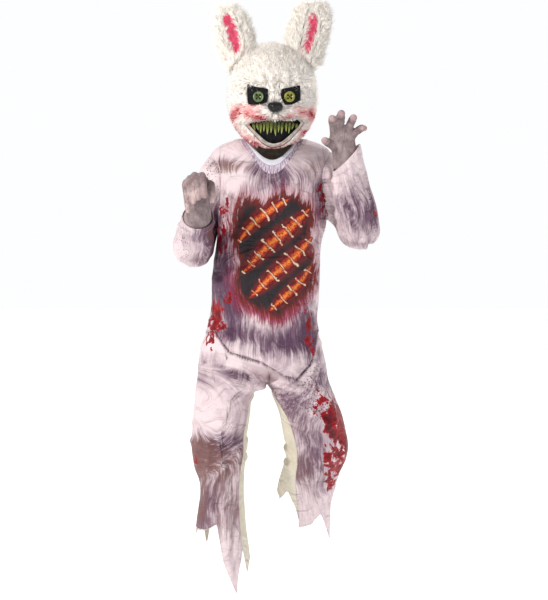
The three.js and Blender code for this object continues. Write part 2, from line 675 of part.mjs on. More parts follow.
// Lip rim, the dark lining behind the mouth and a comb of pointed teeth
function buildMouth(group) {
  const rimSkin = liftedMask(seamGap + rimRise).subtract(liftedMask(seamGap));
  const rimOuter = frontPrism(grownMouth(lip.width, lip.upperWidth), -far, 0);
  const rim = rimSkin.intersect(rimOuter).subtract(frontPrism(grownMouth(lip.innerGrow), -far, 0));
  addMesh(group, 'lip_rim', mainBody(rim), looks.rim);

  const liningLift = -maskWall - seamGap;
  const backing = liftedMask(liningLift).subtract(liftedMask(liningLift - lining.thickness));
  const patch = backing.intersect(frontPrism(grownMouth(lining.grow), -far, lining.backY));
  addMesh(group, 'mouth_lining', mainBody(patch), looks.felt);

  const inset = grownMouth(-seamGap - 0.8);
  const teethSkin = liftedMask(teeth.outerLift).subtract(liftedMask(teeth.innerLift));
  const row = teethSkin.intersect(frontPrism(toothComb(), -far, 0)).intersect(frontPrism(inset, -far, 0));
  addMesh(group, 'teeth', mainBody(row), looks.teeth);
}

// Outline of the row of teeth, shorter toward its ends and at every second tooth
function toothComb() {
  const comb = [];
  const pitch = (teeth.toX - teeth.fromX) / teeth.count;
  for (let tooth = 0; tooth < teeth.count; tooth += 1) {
    const middle = teeth.fromX + pitch * (tooth + 0.5);
    const away = Math.abs((middle - teeth.middleX) / teeth.halfRow);
    const reach = teeth.longest - teeth.shorter * away ** 1.6 - (tooth % 2) * teeth.step;
    comb.push([teeth.fromX + pitch * tooth, teeth.gumZ], [middle, teeth.gumZ - reach]);
  }
  const aboveMouth = teeth.gumZ + teeth.longest;
  comb.push([teeth.toX, teeth.gumZ], [teeth.toX, aboveMouth], [teeth.fromX, aboveMouth]);
  return comb;
}

function buildEars(group) {
  const ears = [
    ['left', leftEarSections, leftLiningOutline],
    ['right', rightEarSections, rightLiningOutline],
  ];
  for (const [side, table, outline] of ears) {
    const heights = table.map((section) => section.z);
    const earSolid = (grow) => skinSolid(levelRings(table, heights, earSides, grow));
    const ear = earSolid(0).subtract(liftedMask(seamGap));
    addMesh(group, `mask_ear_${side}`, mainBody(ear), looks.fur);
    const skin = earSolid(seamGap + earLiningRise).subtract(earSolid(seamGap));
    const liningPatch = skin.intersect(frontPrism(outline, -far, earFrontY));
    addMesh(group, `ear_lining_${side}`, mainBody(liningPatch), looks.pink);
  }
}

// Half an ellipse round the back of the head, with straight ends inside the mask
function strapOutline(grow) {
  const [wide, deep] = [strap.halfWidth + grow, strap.halfDepth + grow];
  const outline = [];
  for (let step = 0; step <= strap.steps; step += 1) {
    const turn = step / strap.steps * Math.PI;
    outline.push([strap.x + wide * Math.cos(turn), strap.y + deep * Math.sin(turn)]);
  }
  return [...outline, [strap.x - wide, strapStartY - 1], [strap.x + wide, strapStartY - 1]];
}

function buildStrap(group, hollow) {
  const outside = upPrism(strapOutline(0), strap.fromZ, strap.toZ);
  const inside = upPrism(strapOutline(-strap.thickness), strap.fromZ - 1, strap.toZ + 1);
  const wall = skinSolid(maskRings(seamGap)).subtract(hollow);
  const behind = upPrism([[-far, strapStartY], [far, strapStartY], [far, far], [-far, far]], 0, far);
  const band = outside.subtract(inside).intersect(behind).subtract(wall);
  addMesh(group, 'mask_strap', mainBody(band), looks.elastic);
}

// Rings along one finger: it starts inside the palm and ends a little past its tip
function fingerRings(finger, grow) {
  const places = [finger.root, finger.bend, finger.tip].map((place) => new THREE.Vector3(...place));
  const curve = new THREE.CatmullRomCurve3(places);
  const start = curve.getTangent(0).multiplyScalar(-fingerEnd.root);
  const rows = [
    { at: 0, size: 1 }, { at: 0.45, size: 1.04 }, { at: 0.92, size: 0.82 }, { at: 1, size: 0.45 },
  ];
  return rows.map((row, index) => {
    const centre = curve.getPoint(row.at);
    const along = curve.getTangent(row.at);
    if (index === 0) {
      centre.add(start);
    }
    if (index === rows.length - 1) {
      centre.addScaledVector(along, fingerEnd.tip + grow);
    }
    const side = new THREE.Vector3(1, 0, 0).addScaledVector(along, -along.x).normalize();
    const over = along.clone().cross(side);
    const radius = Math.max(finger.radius * row.size + grow, fingerEnd.radius);
    const ring = [];
    for (let step = 0; step < fingerSides; step += 1) {
      const turn = step / fingerSides * 2 * Math.PI;
      const point = centre.clone().addScaledVector(side, radius * Math.cos(turn));
      ring.push(point.addScaledVector(over, radius * Math.sin(turn)));
    }
    return ring;
  });
}

// Palm and fingers of a glove as one solid, grown by a distance, with the wrist drawn out
function gloveSolid(palm, fingers, grow, drawnOut) {
  const palmRings = sleeveRings(palm, palmSides, grow, 0, [1, 0, 0]);
  if (drawnOut > 0) {
    const back = stationFrames(palm, [1, 0, 0])[0].along.clone().multiplyScalar(-drawnOut);
    palmRings[0] = palmRings[0].map((point) => point.clone().add(back));
  }
  let solid = skinSolid(palmRings);
  for (const finger of fingers) {
    solid = solid.add(skinSolid(fingerRings(finger, grow)));
  }
  return solid;
}

const palmStations = {};
palmStations.left = [
  { x: -184.5, y: -180, z: -184, across: 37.6, through: 35.6, lean: 0.1 },
  { x: -182, y: -195, z: -172, across: 33, through: 30, lean: 0 },
  { x: -182, y: -203, z: -150, across: 31, through: 22, lean: 0 },
  { x: -184, y: -204, z: -122, across: 33, through: 17, lean: 0 },
  { x: -187, y: -205, z: -96, across: 35, through: 14, lean: 0 },
  { x: -189, y: -207, z: -84, across: 31, through: 9, lean: 0 },
];
palmStations.right = [
  { x: 189.5, y: -115.5, z: -52, across: 39, through: 37, lean: 0.5 },
  { x: 186, y: -120, z: -32, across: 35, through: 33, lean: 0.5 },
  { x: 181, y: -125, z: -14, across: 32, through: 25, lean: 0.2 },
  { x: 177, y: -129, z: 2, across: 32, through: 19, lean: 0 },
  { x: 174, y: -132, z: 18, across: 33, through: 16, lean: 0 },
  { x: 172, y: -135, z: 34, across: 27, through: 12, lean: 0 },
];
function buildGloves(group) {
  for (const [side, fingers] of [['left', leftFingers], ['right', rightFingers]]) {
    const outsideSleeve = skinSolid(sleeveRings(sleeveStations[side], sleeveSides, seamGap));
    const insideSleeve = skinSolid(
      sleeveRings(sleeveStations[side], sleeveSides, -clothWall - seamGap, runOut.sleeve),
    );
    const outside = gloveSolid(palmStations[side], fingers, 0, 0);
    const inside = gloveSolid(palmStations[side], fingers, -gloveWall, runOut.glove);
    const glove = outside.subtract(inside).subtract(outsideSleeve.subtract(insideSleeve));
    addMesh(group, `glove_${side}`, mainBody(glove), looks.glove);
  }
}

const costume = new THREE.Group();
buildTop(costume);
buildTrousers(costume);
buildMask(costume);
buildGloves(costume);

export default costume;
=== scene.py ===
import math
import bmesh
import bpy
import numpy as np
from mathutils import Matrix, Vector


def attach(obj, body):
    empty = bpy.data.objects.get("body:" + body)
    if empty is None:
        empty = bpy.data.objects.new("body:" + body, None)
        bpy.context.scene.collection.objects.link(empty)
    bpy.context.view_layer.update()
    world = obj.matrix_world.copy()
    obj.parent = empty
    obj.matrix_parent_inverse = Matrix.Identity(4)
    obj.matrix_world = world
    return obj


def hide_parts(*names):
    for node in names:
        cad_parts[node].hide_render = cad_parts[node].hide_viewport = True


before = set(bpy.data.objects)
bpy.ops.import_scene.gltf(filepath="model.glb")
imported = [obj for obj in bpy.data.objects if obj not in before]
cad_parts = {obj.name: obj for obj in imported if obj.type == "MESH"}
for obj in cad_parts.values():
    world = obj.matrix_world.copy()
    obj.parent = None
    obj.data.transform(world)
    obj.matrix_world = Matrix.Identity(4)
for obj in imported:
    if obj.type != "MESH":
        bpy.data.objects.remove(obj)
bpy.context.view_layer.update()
mm = 0.001  # every table below is in millimetres

# Driving dimensions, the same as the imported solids
cloth = {"wall": 1.9, "boxiness": 2.35, "step": 5.8, "drape": 0.9, "knit": 0.0011}
crease = {"gain": 2.1, "narrow": 0.82, "bend": 0.048, "fade": 0.22, "ridge": 0.55, "trough": 0.62, "limit": 8.5}
neck = {"halfWidth": 64, "halfDepth": 67, "centreY": -14, "band": 13}
waist = {"top": -392, "height": 26}
crotch = {"x": -14, "z": -616, "blendFrom": -545}
view = {"distance": 4.0, "height": -0.08, "aimX": 0.005, "aimZ": -0.398, "seenHeight": 1.56,
        "sensor": 24}
studio = {"floorZ": -1.19, "floorSize": 14, "floorTone": 0.7, "floorGlow": 0.6, "floorRough": 0.9,
          "sky": (0.985, 0.99, 1.0, 1), "skyLight": 0.58, "skySeen": 1.0, "aim": (0, 0, -0.35)}
# Place, size, power and tint of each light
lights = {
    "key": ((-2.6, -2.2, 1.9), 0.4, 110, (1.0, 0.98, 0.95)), "fill": ((2.6, -2.8, 0.4), 1.8, 24, (0.95, 0.97, 1.0)),
    "rim": ((0.8, 2.4, 2.0), 1.2, 40, (1.0, 1.0, 1.0)),
}

# Sections seen from above: z, left, right, front, back
topSections = [
    (18, -88, 84, -30, 36), (8, -120, 118, -46, 56), (-8, -147, 145, -64, 76), (-30, -160, 152, -78, 92),
    (-60, -156, 151, -90, 102), (-100, -145, 147, -101, 110), (-150, -139, 143, -109, 113),
    (-205, -140, 139, -112, 110), (-250, -144, 127, -111, 105), (-300, -151, 124, -109, 101),
    (-350, -156, 123, -109, 102), (-400, -157, 121, -112, 108), (-450, -164, 117, -117, 113),
    (-478, -172, 122, -121, 117), (-510, -187, 131, -126, 120), (-550, -196, 141, -132, 122),
    (-610, -203, 156, -139, 124),
]
hipSections = [
    (-392, -146, 110, -100, 96), (-420, -152, 110, -106, 102), (-450, -161.4, 114.4, -114, 110),
    (-478, -169.4, 119.4, -118, 114), (-510, -183, 127, -120, 116), (-550, -190, 137, -122, 117),
    (-586, -194, 144, -122, 117), (-640, -196, 150, -121, 114),
]
# The last column is the direction of the inside-leg seam in degrees around
leftLegSections = [
    (-540, -189, -14.2, -121, 115, 0), (-616, -197, -14.2, -117, 107, 0), (-626, -199, -40, -119, 101, -6),
    (-645, -200, -50, -123, 92, -15), (-690, -204, -57, -134, 66, -25), (-740, -207, -64, -146, 32, -31),
    (-780, -206, -63, -154, 8, -33), (-820, -197, -70, -160, -6, -35), (-870, -188, -73, -172, -16, -38),
    (-920, -190, -71, -188, -22, -39), (-970, -194, -66, -204, -30, -40), (-1030, -192, -58, -216, -40, -40),
    (-1130, -182, -50, -226, -56, -40),
]
rightLegSections = [
    (-540, -13.8, 136, -119, 114, 180), (-616, -13.8, 150, -113, 108, 180), (-626, -6, 154, -115, 109, 192),
    (-645, 1, 161, -115, 112, 204), (-690, 18, 180, -108, 116, 222), (-740, 27, 193, -92, 116, 231),
    (-785, 33, 200, -72, 120, 234), (-825, 34, 194, -50, 130, 236), (-860, 25, 180, -24, 142, 242),
    (-910, 13, 170, 8, 162, 252), (-960, 10, 160, 30, 182, 260), (-1010, 12, 157, 44, 196, 262),
    (-1070, 14, 155, 56, 208, 262),
]
# Large folds: direction and half width in degrees around, top, bottom, depth
topFolds = [
    (205, 24, -250, -470, -7), (232, 16, -330, -520, 5), (330, 22, -180, -360, -6), (308, 16, -300, -520, 5),
    (150, 24, -200, -420, -6), (40, 24, -240, -460, -6), (95, 20, -120, -400, -5),
]
leftLegFolds = [
    (225, 26, -640, -860, -7), (290, 24, -700, -960, -6), (170, 30, -760, -960, -7), (90, 34, -700, -1000, -7),
]
rightLegFolds = [
    (250, 26, -640, -840, -7), (315, 24, -680, -900, -7), (5, 26, -800, -1000, -7), (100, 34, -700, -1000, -7),
]
# Sleeve stations: centre, half sizes across and through, lean of the end
leftStations = [
    (-70, 4, -60, 60, 56, 0), (-112, 6, -66, 61, 60, 0), (-138, 8, -90, 57, 60, 0), (-158, 12, -130, 49, 56, 0),
    (-177, 16, -174, 50, 54, 0), (-192, 12, -214, 52, 51, 0), (-199, -12, -246, 52, 50, 0),
    (-201, -46, -259, 52, 49, 0), (-198, -82, -249, 51, 47, 0), (-194, -112, -229, 48, 45, 0),
    (-189, -150, -203, 44, 41, 0), (-183, -190, -177, 39, 37, -0.1),
]
rightStations = [
    (66, 8, -94, 80, 64, 0), (118, 10, -97, 86, 68, 0), (154, 14, -108, 86, 66, 0), (188, 26, -134, 76, 58, 0),
    (213, 34, -172, 63, 53, 0), (223, 14, -202, 56, 50, 0), (224, -18, -216, 54, 49, 0),
    (222, -52, -204, 54, 49, 0), (214, -80, -172, 53, 48, 0), (203, -98, -122, 48, 45, 0.1),
    (194, -110, -74, 43, 41, 0.35), (186, -120, -31, 40, 38, 0.7),
]
# Ragged hems as x and z, seen from the front
topFrontHem = [(-400, -474), (-172, -478), (-146, -468), (-109, -519), (-70, -531), (-26, -543), (29, -577),
               (62, -587), (98, -552), (112, -512), (118, -470), (400, -466)]
topBackHem = [(-400, -476), (-172, -478), (-120, -520), (-60, -538), (0, -532), (60, -540), (100, -506),
              (126, -474), (400, -470)]
leftLegFrontHem = [(-400, -962), (-192, -964), (-160, -958), (-140, -946), (-136, -950), (-122, -1036),
                   (-88, -1116), (-82, -1060), (-72, -1000), (400, -990)]
leftLegBackHem = [(-400, -986), (-196, -988), (-182, -960), (-170, -1030), (-160, -966), (-128, -990),
                  (-100, -984), (-78, -1000), (-70, -1022), (-60, -1074), (-54, -1018), (-46, -1044),
                  (-40, -980), (400, -980)]
rightLegFrontHem = [(-400, -1004), (84, -1006), (104, -998), (128, -968), (140, -996), (156, -1050),
                    (160, -1010), (400, -1010)]
rightLegBackHem = [(-400, -900), (10, -905), (20, -932), (40, -904), (62, -950), (78, -1018), (90, -980),
                   (120, -952), (150, -1000), (170, -976), (400, -976)]


def addHolder(name, data):
    holder = bpy.data.objects.new(name, data)
    bpy.context.collection.objects.link(holder)
    return holder


def turnTowards(holder, place, aim):
    holder.location = place
    holder.rotation_euler = (Vector(aim) - Vector(place)).to_track_quat("-Z", "Y").to_euler()


def makeCamera():
    camera = bpy.data.cameras.new("camera")
    aim = Vector((view["aimX"], 0, view["aimZ"]))
    place = Vector((view["aimX"], -view["distance"], view["height"]))
    camera.sensor_fit = "VERTICAL"
    camera.sensor_height = view["sensor"]
    camera.lens = view["sensor"] * (aim - place).length / view["seenHeight"]
    holder = addHolder("camera", camera)
    turnTowards(holder, place, aim)
    bpy.context.scene.camera = holder


def addLight(name, place, size, power, tint):
    light = bpy.data.lights.new(name, "AREA")
    light.shape = "DISK"
    light.size = size
    light.energy = power
    light.color = tint
    turnTowards(addHolder(name, light), place, studio["aim"])


def makeStudio():
    bm = bmesh.new()
    bmesh.ops.create_grid(bm, x_segments=8, y_segments=8, size=studio["floorSize"] / 2)
    floor = addObject("floor", bm, None, False)
    floor.location = (0, 2, studio["floorZ"])
    paint = bpy.data.materials.new("floor")
    paint.use_nodes = True
    tone = studio["floorTone"]
    values = {"Base Color": (tone, tone, tone, 1), "Emission Color": (1, 1, 1, 1),
              "Emission Strength": studio["floorGlow"], "Roughness": studio["floorRough"]}
    for name, value in values.items():
        paint.node_tree.nodes["Principled BSDF"].inputs[name].default_value = value
    floor.data.materials.append(paint)
    world = bpy.data.worlds.new("studio")
    bpy.context.scene.world = world
    world.use_nodes = True
    nodes, links = world.node_tree.nodes, world.node_tree.links
    nodes["Background"].inputs["Color"].default_value = studio["sky"]
    ray, level = nodes.new("ShaderNodeLightPath"), nodes.new("ShaderNodeMapRange")
    level.inputs["To Min"].default_value = studio["skyLight"]
    level.inputs["To Max"].default_value = studio["skySeen"]
    links.new(ray.outputs["Is Camera Ray"], level.inputs["Value"])
    links.new(level.outputs[0], nodes["Background"].inputs["Strength"])
    bpy.context.scene.view_settings.view_transform = "Standard"
    for name, (place, size, power, tint) in lights.items():
        addLight(name, place, size, power, tint)


# Cubic between two values with a slope at each
def cubic(t, start, startSlope, end, endSlope):
    return ((2 * t**3 - 3 * t**2 + 1) * start + (t**3 - 2 * t**2 + t) * startSlope
            + (3 * t**2 - 2 * t**3) * end + (t**3 - t**2) * endSlope)


# Cubic run through a list of rows at even steps
def smoothRows(rows, count):
    table = np.array(rows, float)
    place = np.linspace(0, len(table) - 1, count)
    index = np.clip(place.astype(int), 0, len(table) - 2)
    slopes = np.gradient(table, axis=0)
    return cubic((place - index)[:, None], table[index], slopes[index], table[index + 1], slopes[index + 1])


# Dense cubic interpolation of a table's columns over its first column
def denseTable(rows, count=900):
    table = np.array(sorted(rows), float)
    keys = table[:, 0]
    slopes = np.gradient(table, keys, axis=0)
    wanted = np.linspace(keys[0], keys[-1], count)
    index = np.clip(np.searchsorted(keys, wanted, side="right") - 1, 0, len(keys) - 2)
    span = (keys[index + 1] - keys[index])[:, None]
    t = (wanted - keys[index])[:, None] / span
    dense = cubic(t, table[index], slopes[index] * span, table[index + 1], slopes[index + 1] * span)
    dense[:, 0] = wanted
    return dense


def columnsAt(dense, key):
    return [np.interp(key, dense[:, 0], dense[:, column]) for column in range(1, dense.shape[1])]


def smoothStep(value):
    value = np.clip(value, 0, 1)
    return value * value * (3 - 2 * value)


def unit(vectors):
    return vectors / np.maximum(np.linalg.norm(vectors, axis=-1, keepdims=True), 1e-9)


# Distance along a path at each of its points
def pathSteps(path):
    return np.concatenate(([0], np.cumsum(np.linalg.norm(np.diff(path, axis=0), axis=1))))


# Places on a path at the wanted distances
def alongPath(wanted, steps, path):
    return np.stack([np.interp(wanted, steps, path[:, axis]) for axis in range(3)], -1)


def squared(value):
    return np.sign(value) * np.abs(value) ** (2 / cloth["boxiness"])


def foldDepth(folds, degrees, z):
    depth = np.zeros(np.broadcast(degrees, z).shape)
    for at, spread, high, low, amount in folds:
        turn = np.clip(np.abs((degrees - at + 540) % 360 - 180) / spread, 0, 1)
        rise = np.clip(np.abs(z - (high + low) / 2) / ((high - low) / 2), 0, 1)
        depth += amount * np.cos(turn * np.pi / 2) ** 2 * np.cos(rise * np.pi / 2) ** 2
    return depth


# Points on a garment's section at a height and a direction in degrees
def ringPoint(dense, folds, degrees, z):
    left, right, front, back = columnsAt(dense, z)[:4]
    extra = foldDepth(folds, degrees, z)
    turn = np.radians(degrees)
    x = (left + right) / 2 + ((right - left) / 2 + extra) * squared(np.cos(turn))
    y = (front + back) / 2 + ((back - front) / 2 + extra) * squared(np.sin(turn))
    return np.stack(np.broadcast_arrays(x, y, z), -1)


# Below 1 inside a garment's section, above 1 outside
def sectionValue(dense, points, grow=0.0):
    x, y, z = points[..., 0], points[..., 1], points[..., 2]
    left, right, front, back = columnsAt(dense, z)[:4]
    across = np.abs(x - (left + right) / 2) / ((right - left) / 2 + grow)
    through = np.abs(y - (front + back) / 2) / ((back - front) / 2 + grow)
    value = across ** cloth["boxiness"] + through ** cloth["boxiness"]
    return np.where(z > dense[-1, 0], 2.0, value)


# Dense stations along a sleeve with axes that don't twist
def sleeveFrames(stations, count=160, startAcross=(0, 0, 1)):
    dense = smoothRows(stations, count)
    along = unit(np.gradient(dense[:, :3], axis=0))
    across = np.zeros_like(along)
    current = np.array(startAcross, float)
    for row in range(count):
        current = unit(current - along[row] * (current @ along[row]))
        across[row] = current
    return {"centre": dense[:, :3], "along": along, "across": across, "through": np.cross(along, across),
            "sizes": dense[:, 3:]}


def tubePoint(frames, row, turn, grow=0.0):
    across, through, lean = [frames["sizes"][row, column] for column in range(3)]
    offset = (across + grow) * np.cos(turn)
    point = frames["centre"][row] + frames["across"][row] * offset[..., None]
    point = point + frames["through"][row] * ((through + grow) * np.sin(turn))[..., None]
    return point + frames["along"][row] * (lean * offset)[..., None]


# Below 1 inside a sleeve
def tubeValue(frames, points):
    flat = points.reshape(-1, 3)
    best = np.full(len(flat), 9.0)
    for row in range(0, len(frames["centre"]), 2):
        away = flat - frames["centre"][row]
        along = np.abs(away @ frames["along"][row])
        across = (away @ frames["across"][row]) / frames["sizes"][row, 0]
        through = (away @ frames["through"][row]) / frames["sizes"][row, 1]
        value = across**2 + through**2
        best = np.where((along < 4) & (value < best), value, best)
    return best.reshape(points.shape[:-1])


# Cuts each column of a sheet of points between two marks and spaces its rows evenly
def resampleColumns(points, starts, ends, rows):
    result = np.zeros((rows + 1, points.shape[1], 3))
    order = np.arange(points.shape[0], dtype=float)
    for column, (start, end) in enumerate(zip(starts, ends)):
        marks = np.concatenate(([start], order[(order > start) & (order < end)], [end]))
        path = alongPath(marks, order, points[:, column])
        steps = pathSteps(path)
        result[:, column] = alongPath(np.linspace(0, steps[-1], rows + 1), steps, path)
    return result


# Where a value first passes a level down each column, as a fractional row
def crossing(values, level, fallback):
    marks = np.full(values.shape[1], float(fallback))
    for column in range(values.shape[1]):
        above = np.nonzero(values[:, column] >= level)[0]
        if len(above) and above[0] > 0:
            row = above[0]
            low, high = values[row - 1, column], values[row, column]
            marks[column] = row - 1 + (level - low) / (high - low)
        elif len(above):
            marks[column] = 0
    return marks


def gridNormals(points):
    return unit(np.cross(np.gradient(points, axis=1), np.gradient(points, axis=0)))


# Soft troughs along listed lines: x0, z0, x1, z1, half width, depth
frontCreases = [
    (-146, -470, -112, -512, 7, 4.0), (-112, -512, -66, -530, 8, 4.5), (-66, -530, -22, -545, 7, 2.5),
    (-100, -470, -30, -463, 9, 3.0), (-30, -463, 58, -434, 8, 2.2), (-150, -440, -96, -476, 8, 3.5),
    (68, -586, 110, -542, 5, 4.0), (40, -560, 96, -508, 8, 2.6), (104, -470, 122, -530, 8, 3.0),
    (-40, -20, -118, -60, 12, 2.4), (46, -24, 112, -66, 12, 2.8), (60, -40, 120, -116, 9, 2.6),
    (-112, -70, -70, -130, 12, 2.4), (-126, -150, -96, -230, 11, 2.4), (118, -180, 96, -270, 10, 2.6),
    (112, -300, 60, -372, 12, 2.6), (-140, -330, -76, -400, 11, 3.0), (-136, -300, -112, -420, 8, 2.6),
    (100, -360, 112, -462, 8, 2.6), (-20, -330, 40, -356, 14, 1.6), (-70, -230, -60, -330, 16, 1.4),
    (30, -170, 70, -250, 15, 1.4), (-176, -550, -128, -536, 9, 4.0), (-128, -536, -60, -560, 9, 4.5),
    (-60, -560, -16, -606, 9, 5.0), (-150, -604, -104, -580, 8, 4.0), (-104, -580, -58, -590, 8, 4.5),
    (-58, -590, -20, -612, 7, 4.0), (-94, -640, -44, -612, 7, 4.5), (-120, -672, -60, -628, 8, 3.4),
    (0, -596, 60, -606, 9, 4.5), (60, -606, 128, -608, 9, 3.6), (4, -616, 84, -650, 8, 4.5),
    (84, -650, 140, -690, 9, 3.4), (0, -624, 70, -676, 7, 4.2), (70, -676, 130, -742, 9, 3.2),
    (2, -634, 44, -712, 7, 3.8), (44, -712, 66, -776, 8, 3.0), (-206, -736, -160, -748, 10, 5.0),
    (-160, -748, -116, -760, 9, 4.5), (-116, -760, -88, -752, 8, 3.4), (-190, -700, -150, -716, 10, 2.6),
    (-70, -660, -86, -716, 8, 3.6), (-86, -716, -90, -762, 8, 3.0), (-146, -780, -142, -900, 10, 3.2),
    (-142, -900, -134, -980, 9, 3.0), (-110, -800, -98, -930, 11, 3.0), (-176, -790, -184, -900, 10, 3.0),
    (-96, -960, -90, -1060, 8, 2.4), (110, -780, 168, -800, 8, 3.0), (90, -830, 150, -846, 9, 2.6),
    (60, -800, 70, -900, 10, 2.6), (112, -860, 130, -950, 9, 2.4), (150, -860, 148, -960, 9, 2.6),
    (40, -860, 76, -976, 8, 2.4), (150, -640, 176, -706, 9, 2.8),
]
backCreases = [
    (-60, -30, -20, -110, 12, 2.6), (54, -26, 30, -120, 12, 2.6), (-118, -110, -70, -190, 10, 3.0),
    (120, -120, 66, -200, 10, 3.2), (-130, -200, -80, -250, 11, 2.8), (118, -230, 60, -262, 10, 2.6),
    (-100, -300, 20, -330, 14, 3.0), (96, -330, -10, -352, 13, 3.0), (-130, -370, -30, -396, 11, 3.2),
    (110, -392, 20, -410, 11, 3.0), (-150, -430, -110, -500, 9, 3.0), (100, -440, 76, -500, 9, 3.0),
    (-20, -440, -8, -510, 12, 2.2), (-160, -520, -70, -560, 10, 3.6), (120, -530, 30, -570, 10, 3.6),
    (-120, -600, -40, -620, 8, 4.0), (100, -604, 14, -624, 8, 4.0), (-150, -650, -60, -636, 8, 4.0),
    (140, -660, 40, -640, 8, 4.0), (-190, -770, -90, -748, 8, 4.5), (-180, -800, -80, -786, 8, 4.0),
    (50, -780, 180, -800, 8, 4.5), (48, -820, 170, -828, 8, 4.0), (-150, -850, -140, -960, 10, 3.0),
    (-96, -840, -86, -1000, 10, 3.0), (70, -860, 90, -1000, 10, 3.0), (130, -870, 136, -980, 10, 2.8),
]
leftSleeveCreases = [
    (-150, -60, -178, -110, 9, 2.6), (-190, -140, -204, -210, 9, 2.4), (-226, -186, -196, -176, 7, 3.2),
    (-196, -176, -150, -180, 7, 3.0), (-232, -212, -214, -236, 7, 2.8), (-214, -236, -178, -250, 8, 2.8),
    (-170, -176, -216, -206, 7, 2.4), (-150, -220, -190, -288, 8, 2.6), (-210, -296, -170, -288, 8, 2.2),
    (-136, -110, -150, -170, 8, 2.6), (-162, -90, -160, -160, 8, 2.0), (-240, -220, -226, -280, 8, 2.0),
]
rightSleeveCreases = [
    (150, -48, 182, -130, 8, 3.2), (182, -130, 224, -188, 8, 3.2), (224, -188, 250, -254, 7, 3.4),
    (156, -62, 176, -140, 7, 2.6), (176, -140, 196, -200, 8, 2.6), (150, -96, 172, -150, 5, 2.6),
    (150, -112, 168, -166, 5, 2.4), (160, -84, 206, -124, 6, 2.4), (152, -140, 180, -186, 6, 2.8),
    (198, -154, 236, -206, 7, 3.0), (236, -206, 250, -246, 7, 2.6), (172, -196, 222, -226, 7, 2.6),
    (236, -100, 262, -170, 8, 2.4), (212, -60, 240, -130, 9, 2.2), (180, -20, 214, -70, 8, 2.2),
    (258, -180, 250, -250, 7, 2.2), (186, -220, 226, -250, 7, 2.4),
]


# Trough with a softer ridge beside it, fading out at both ends of each line
def creaseShift(x, z, creases):
    shift = np.zeros(x.shape)
    for x0, z0, x1, z1, wide, depth in creases:
        width = wide * crease["narrow"]
        length = math.hypot(x1 - x0, z1 - z0)
        alongX, alongZ = (x1 - x0) / length, (z1 - z0) / length
        along = (x - x0) * alongX + (z - z0) * alongZ
        way = 1 if round(wide) % 2 else -1
        bend = way * crease["bend"] * length * np.sin(np.clip(along / length, 0, 1) * np.pi)
        off = (x - x0) * alongZ - (z - z0) * alongX + bend
        past = np.maximum(np.maximum(-along, along - length), 0)
        fade = np.exp(-((past / (crease["fade"] * length + width)) ** 2))
        trough = np.exp(-((off / width) ** 2))
        ridge = np.exp(-(((off - 1.7 * width) / (1.15 * width)) ** 2))
        shift += depth * crease["gain"] * fade * (crease["ridge"] * ridge - crease["trough"] * trough)
    return crease["limit"] * np.tanh(shift / crease["limit"])


# Smooth pseudo-random waves over space, roughly between -1 and 1
def softNoise(points, size, seed, stretch=(1, 1, 1)):
    chance = np.random.default_rng(seed)
    total = np.zeros(points.shape[:-1])
    scaled = points / (size * np.array(stretch))
    for _ in range(9):
        way = chance.normal(size=3)
        way *= chance.uniform(0.7, 1.6) / np.linalg.norm(way)
        bend = 0.8 * np.sin(scaled @ chance.normal(size=3) + chance.uniform(0, 6.28))
        total += np.sin(2 * np.pi * (scaled @ way) + chance.uniform(0, 6.28) + bend)
    return total / 4.2


def softVectors(points, size, seed):
    return np.stack([softNoise(points, size, seed + axis) for axis in range(3)], -1)


# Normals of a grid whose last column meets its first
def ringNormals(points):
    around = np.concatenate((points[:, -2:-1], points, points[:, 1:2]), axis=1)
    return gridNormals(around)[:, 1:-1]


def sheetNormals(points, middle):
    normal = gridNormals(points)
    return normal if (normal * (points - middle)).sum() > 0 else -normal


# Grid of points as a mesh, with a cloth map in metres and any vertex fields
def gridPart(bm, points, closed, middle, fields=None):
    rows, columns = points.shape[:2]
    layers = {}
    for name in fields or {}:
        layers[name] = bm.verts.layers.float.get(name) or bm.verts.layers.float.new(name)
    made = bmesh.ops.create_grid(bm, x_segments=columns - 1, y_segments=rows - 1, size=0.5)["verts"]
    across = np.linalg.norm(np.diff(points, axis=1), axis=-1).mean(axis=0)
    across = np.concatenate(([0], np.cumsum(across))) * mm
    down = np.zeros((rows, columns))
    down[1:] = np.cumsum(np.linalg.norm(np.diff(points, axis=0), axis=-1), axis=0) * mm
    places = {}
    for vert in made:
        row = round((0.5 - vert.co.y) * (rows - 1))
        column = round((vert.co.x + 0.5) * (columns - 1))
        places[vert] = (across[column], down[row, column])
        for name, layer in layers.items():
            vert[layer] = fields[name][row, column]
        vert.co = points[row, column] * mm
    layer = bm.loops.layers.uv.verify()
    faces = list({face for vert in made for face in vert.link_faces})
    for face in faces:
        for loop in face.loops:
            loop[layer].uv = places[loop.vert]
    bm.normal_update()
    centre = Vector(middle) * mm if len(np.shape(middle)) == 1 else None
    facing = 0.0
    for face in faces[:: max(1, len(faces) // 400)]:
        outward = face.calc_center_median() - (centre or Vector(nearestMiddle(middle, face)) * mm)
        facing += face.normal.dot(outward)
    if facing < 0:
        bmesh.ops.reverse_faces(bm, faces=faces)
    if closed:
        edge = [vert for vert in made if vert.is_valid and vert.is_boundary]
        bmesh.ops.remove_doubles(bm, verts=edge, dist=0.00005)
    return faces


# The point of a tube's centre line nearest a face
def nearestMiddle(line, face):
    place = np.array(face.calc_center_median()) / mm
    return line[np.argmin(np.linalg.norm(line - place, axis=1))]


def addObject(name, bm, wall=None, smooth=True):
    mesh = bpy.data.meshes.new(name)
    bm.to_mesh(mesh)
    bm.free()
    if smooth:
        mesh.shade_smooth()
    holder = addHolder(name, mesh)
    if wall:
        addWall(holder, wall)
    return holder


def gridObject(name, points, closed, middle, wall=None):
    bm = bmesh.new()
    gridPart(bm, points, closed, middle)
    return addObject(name, bm, wall)


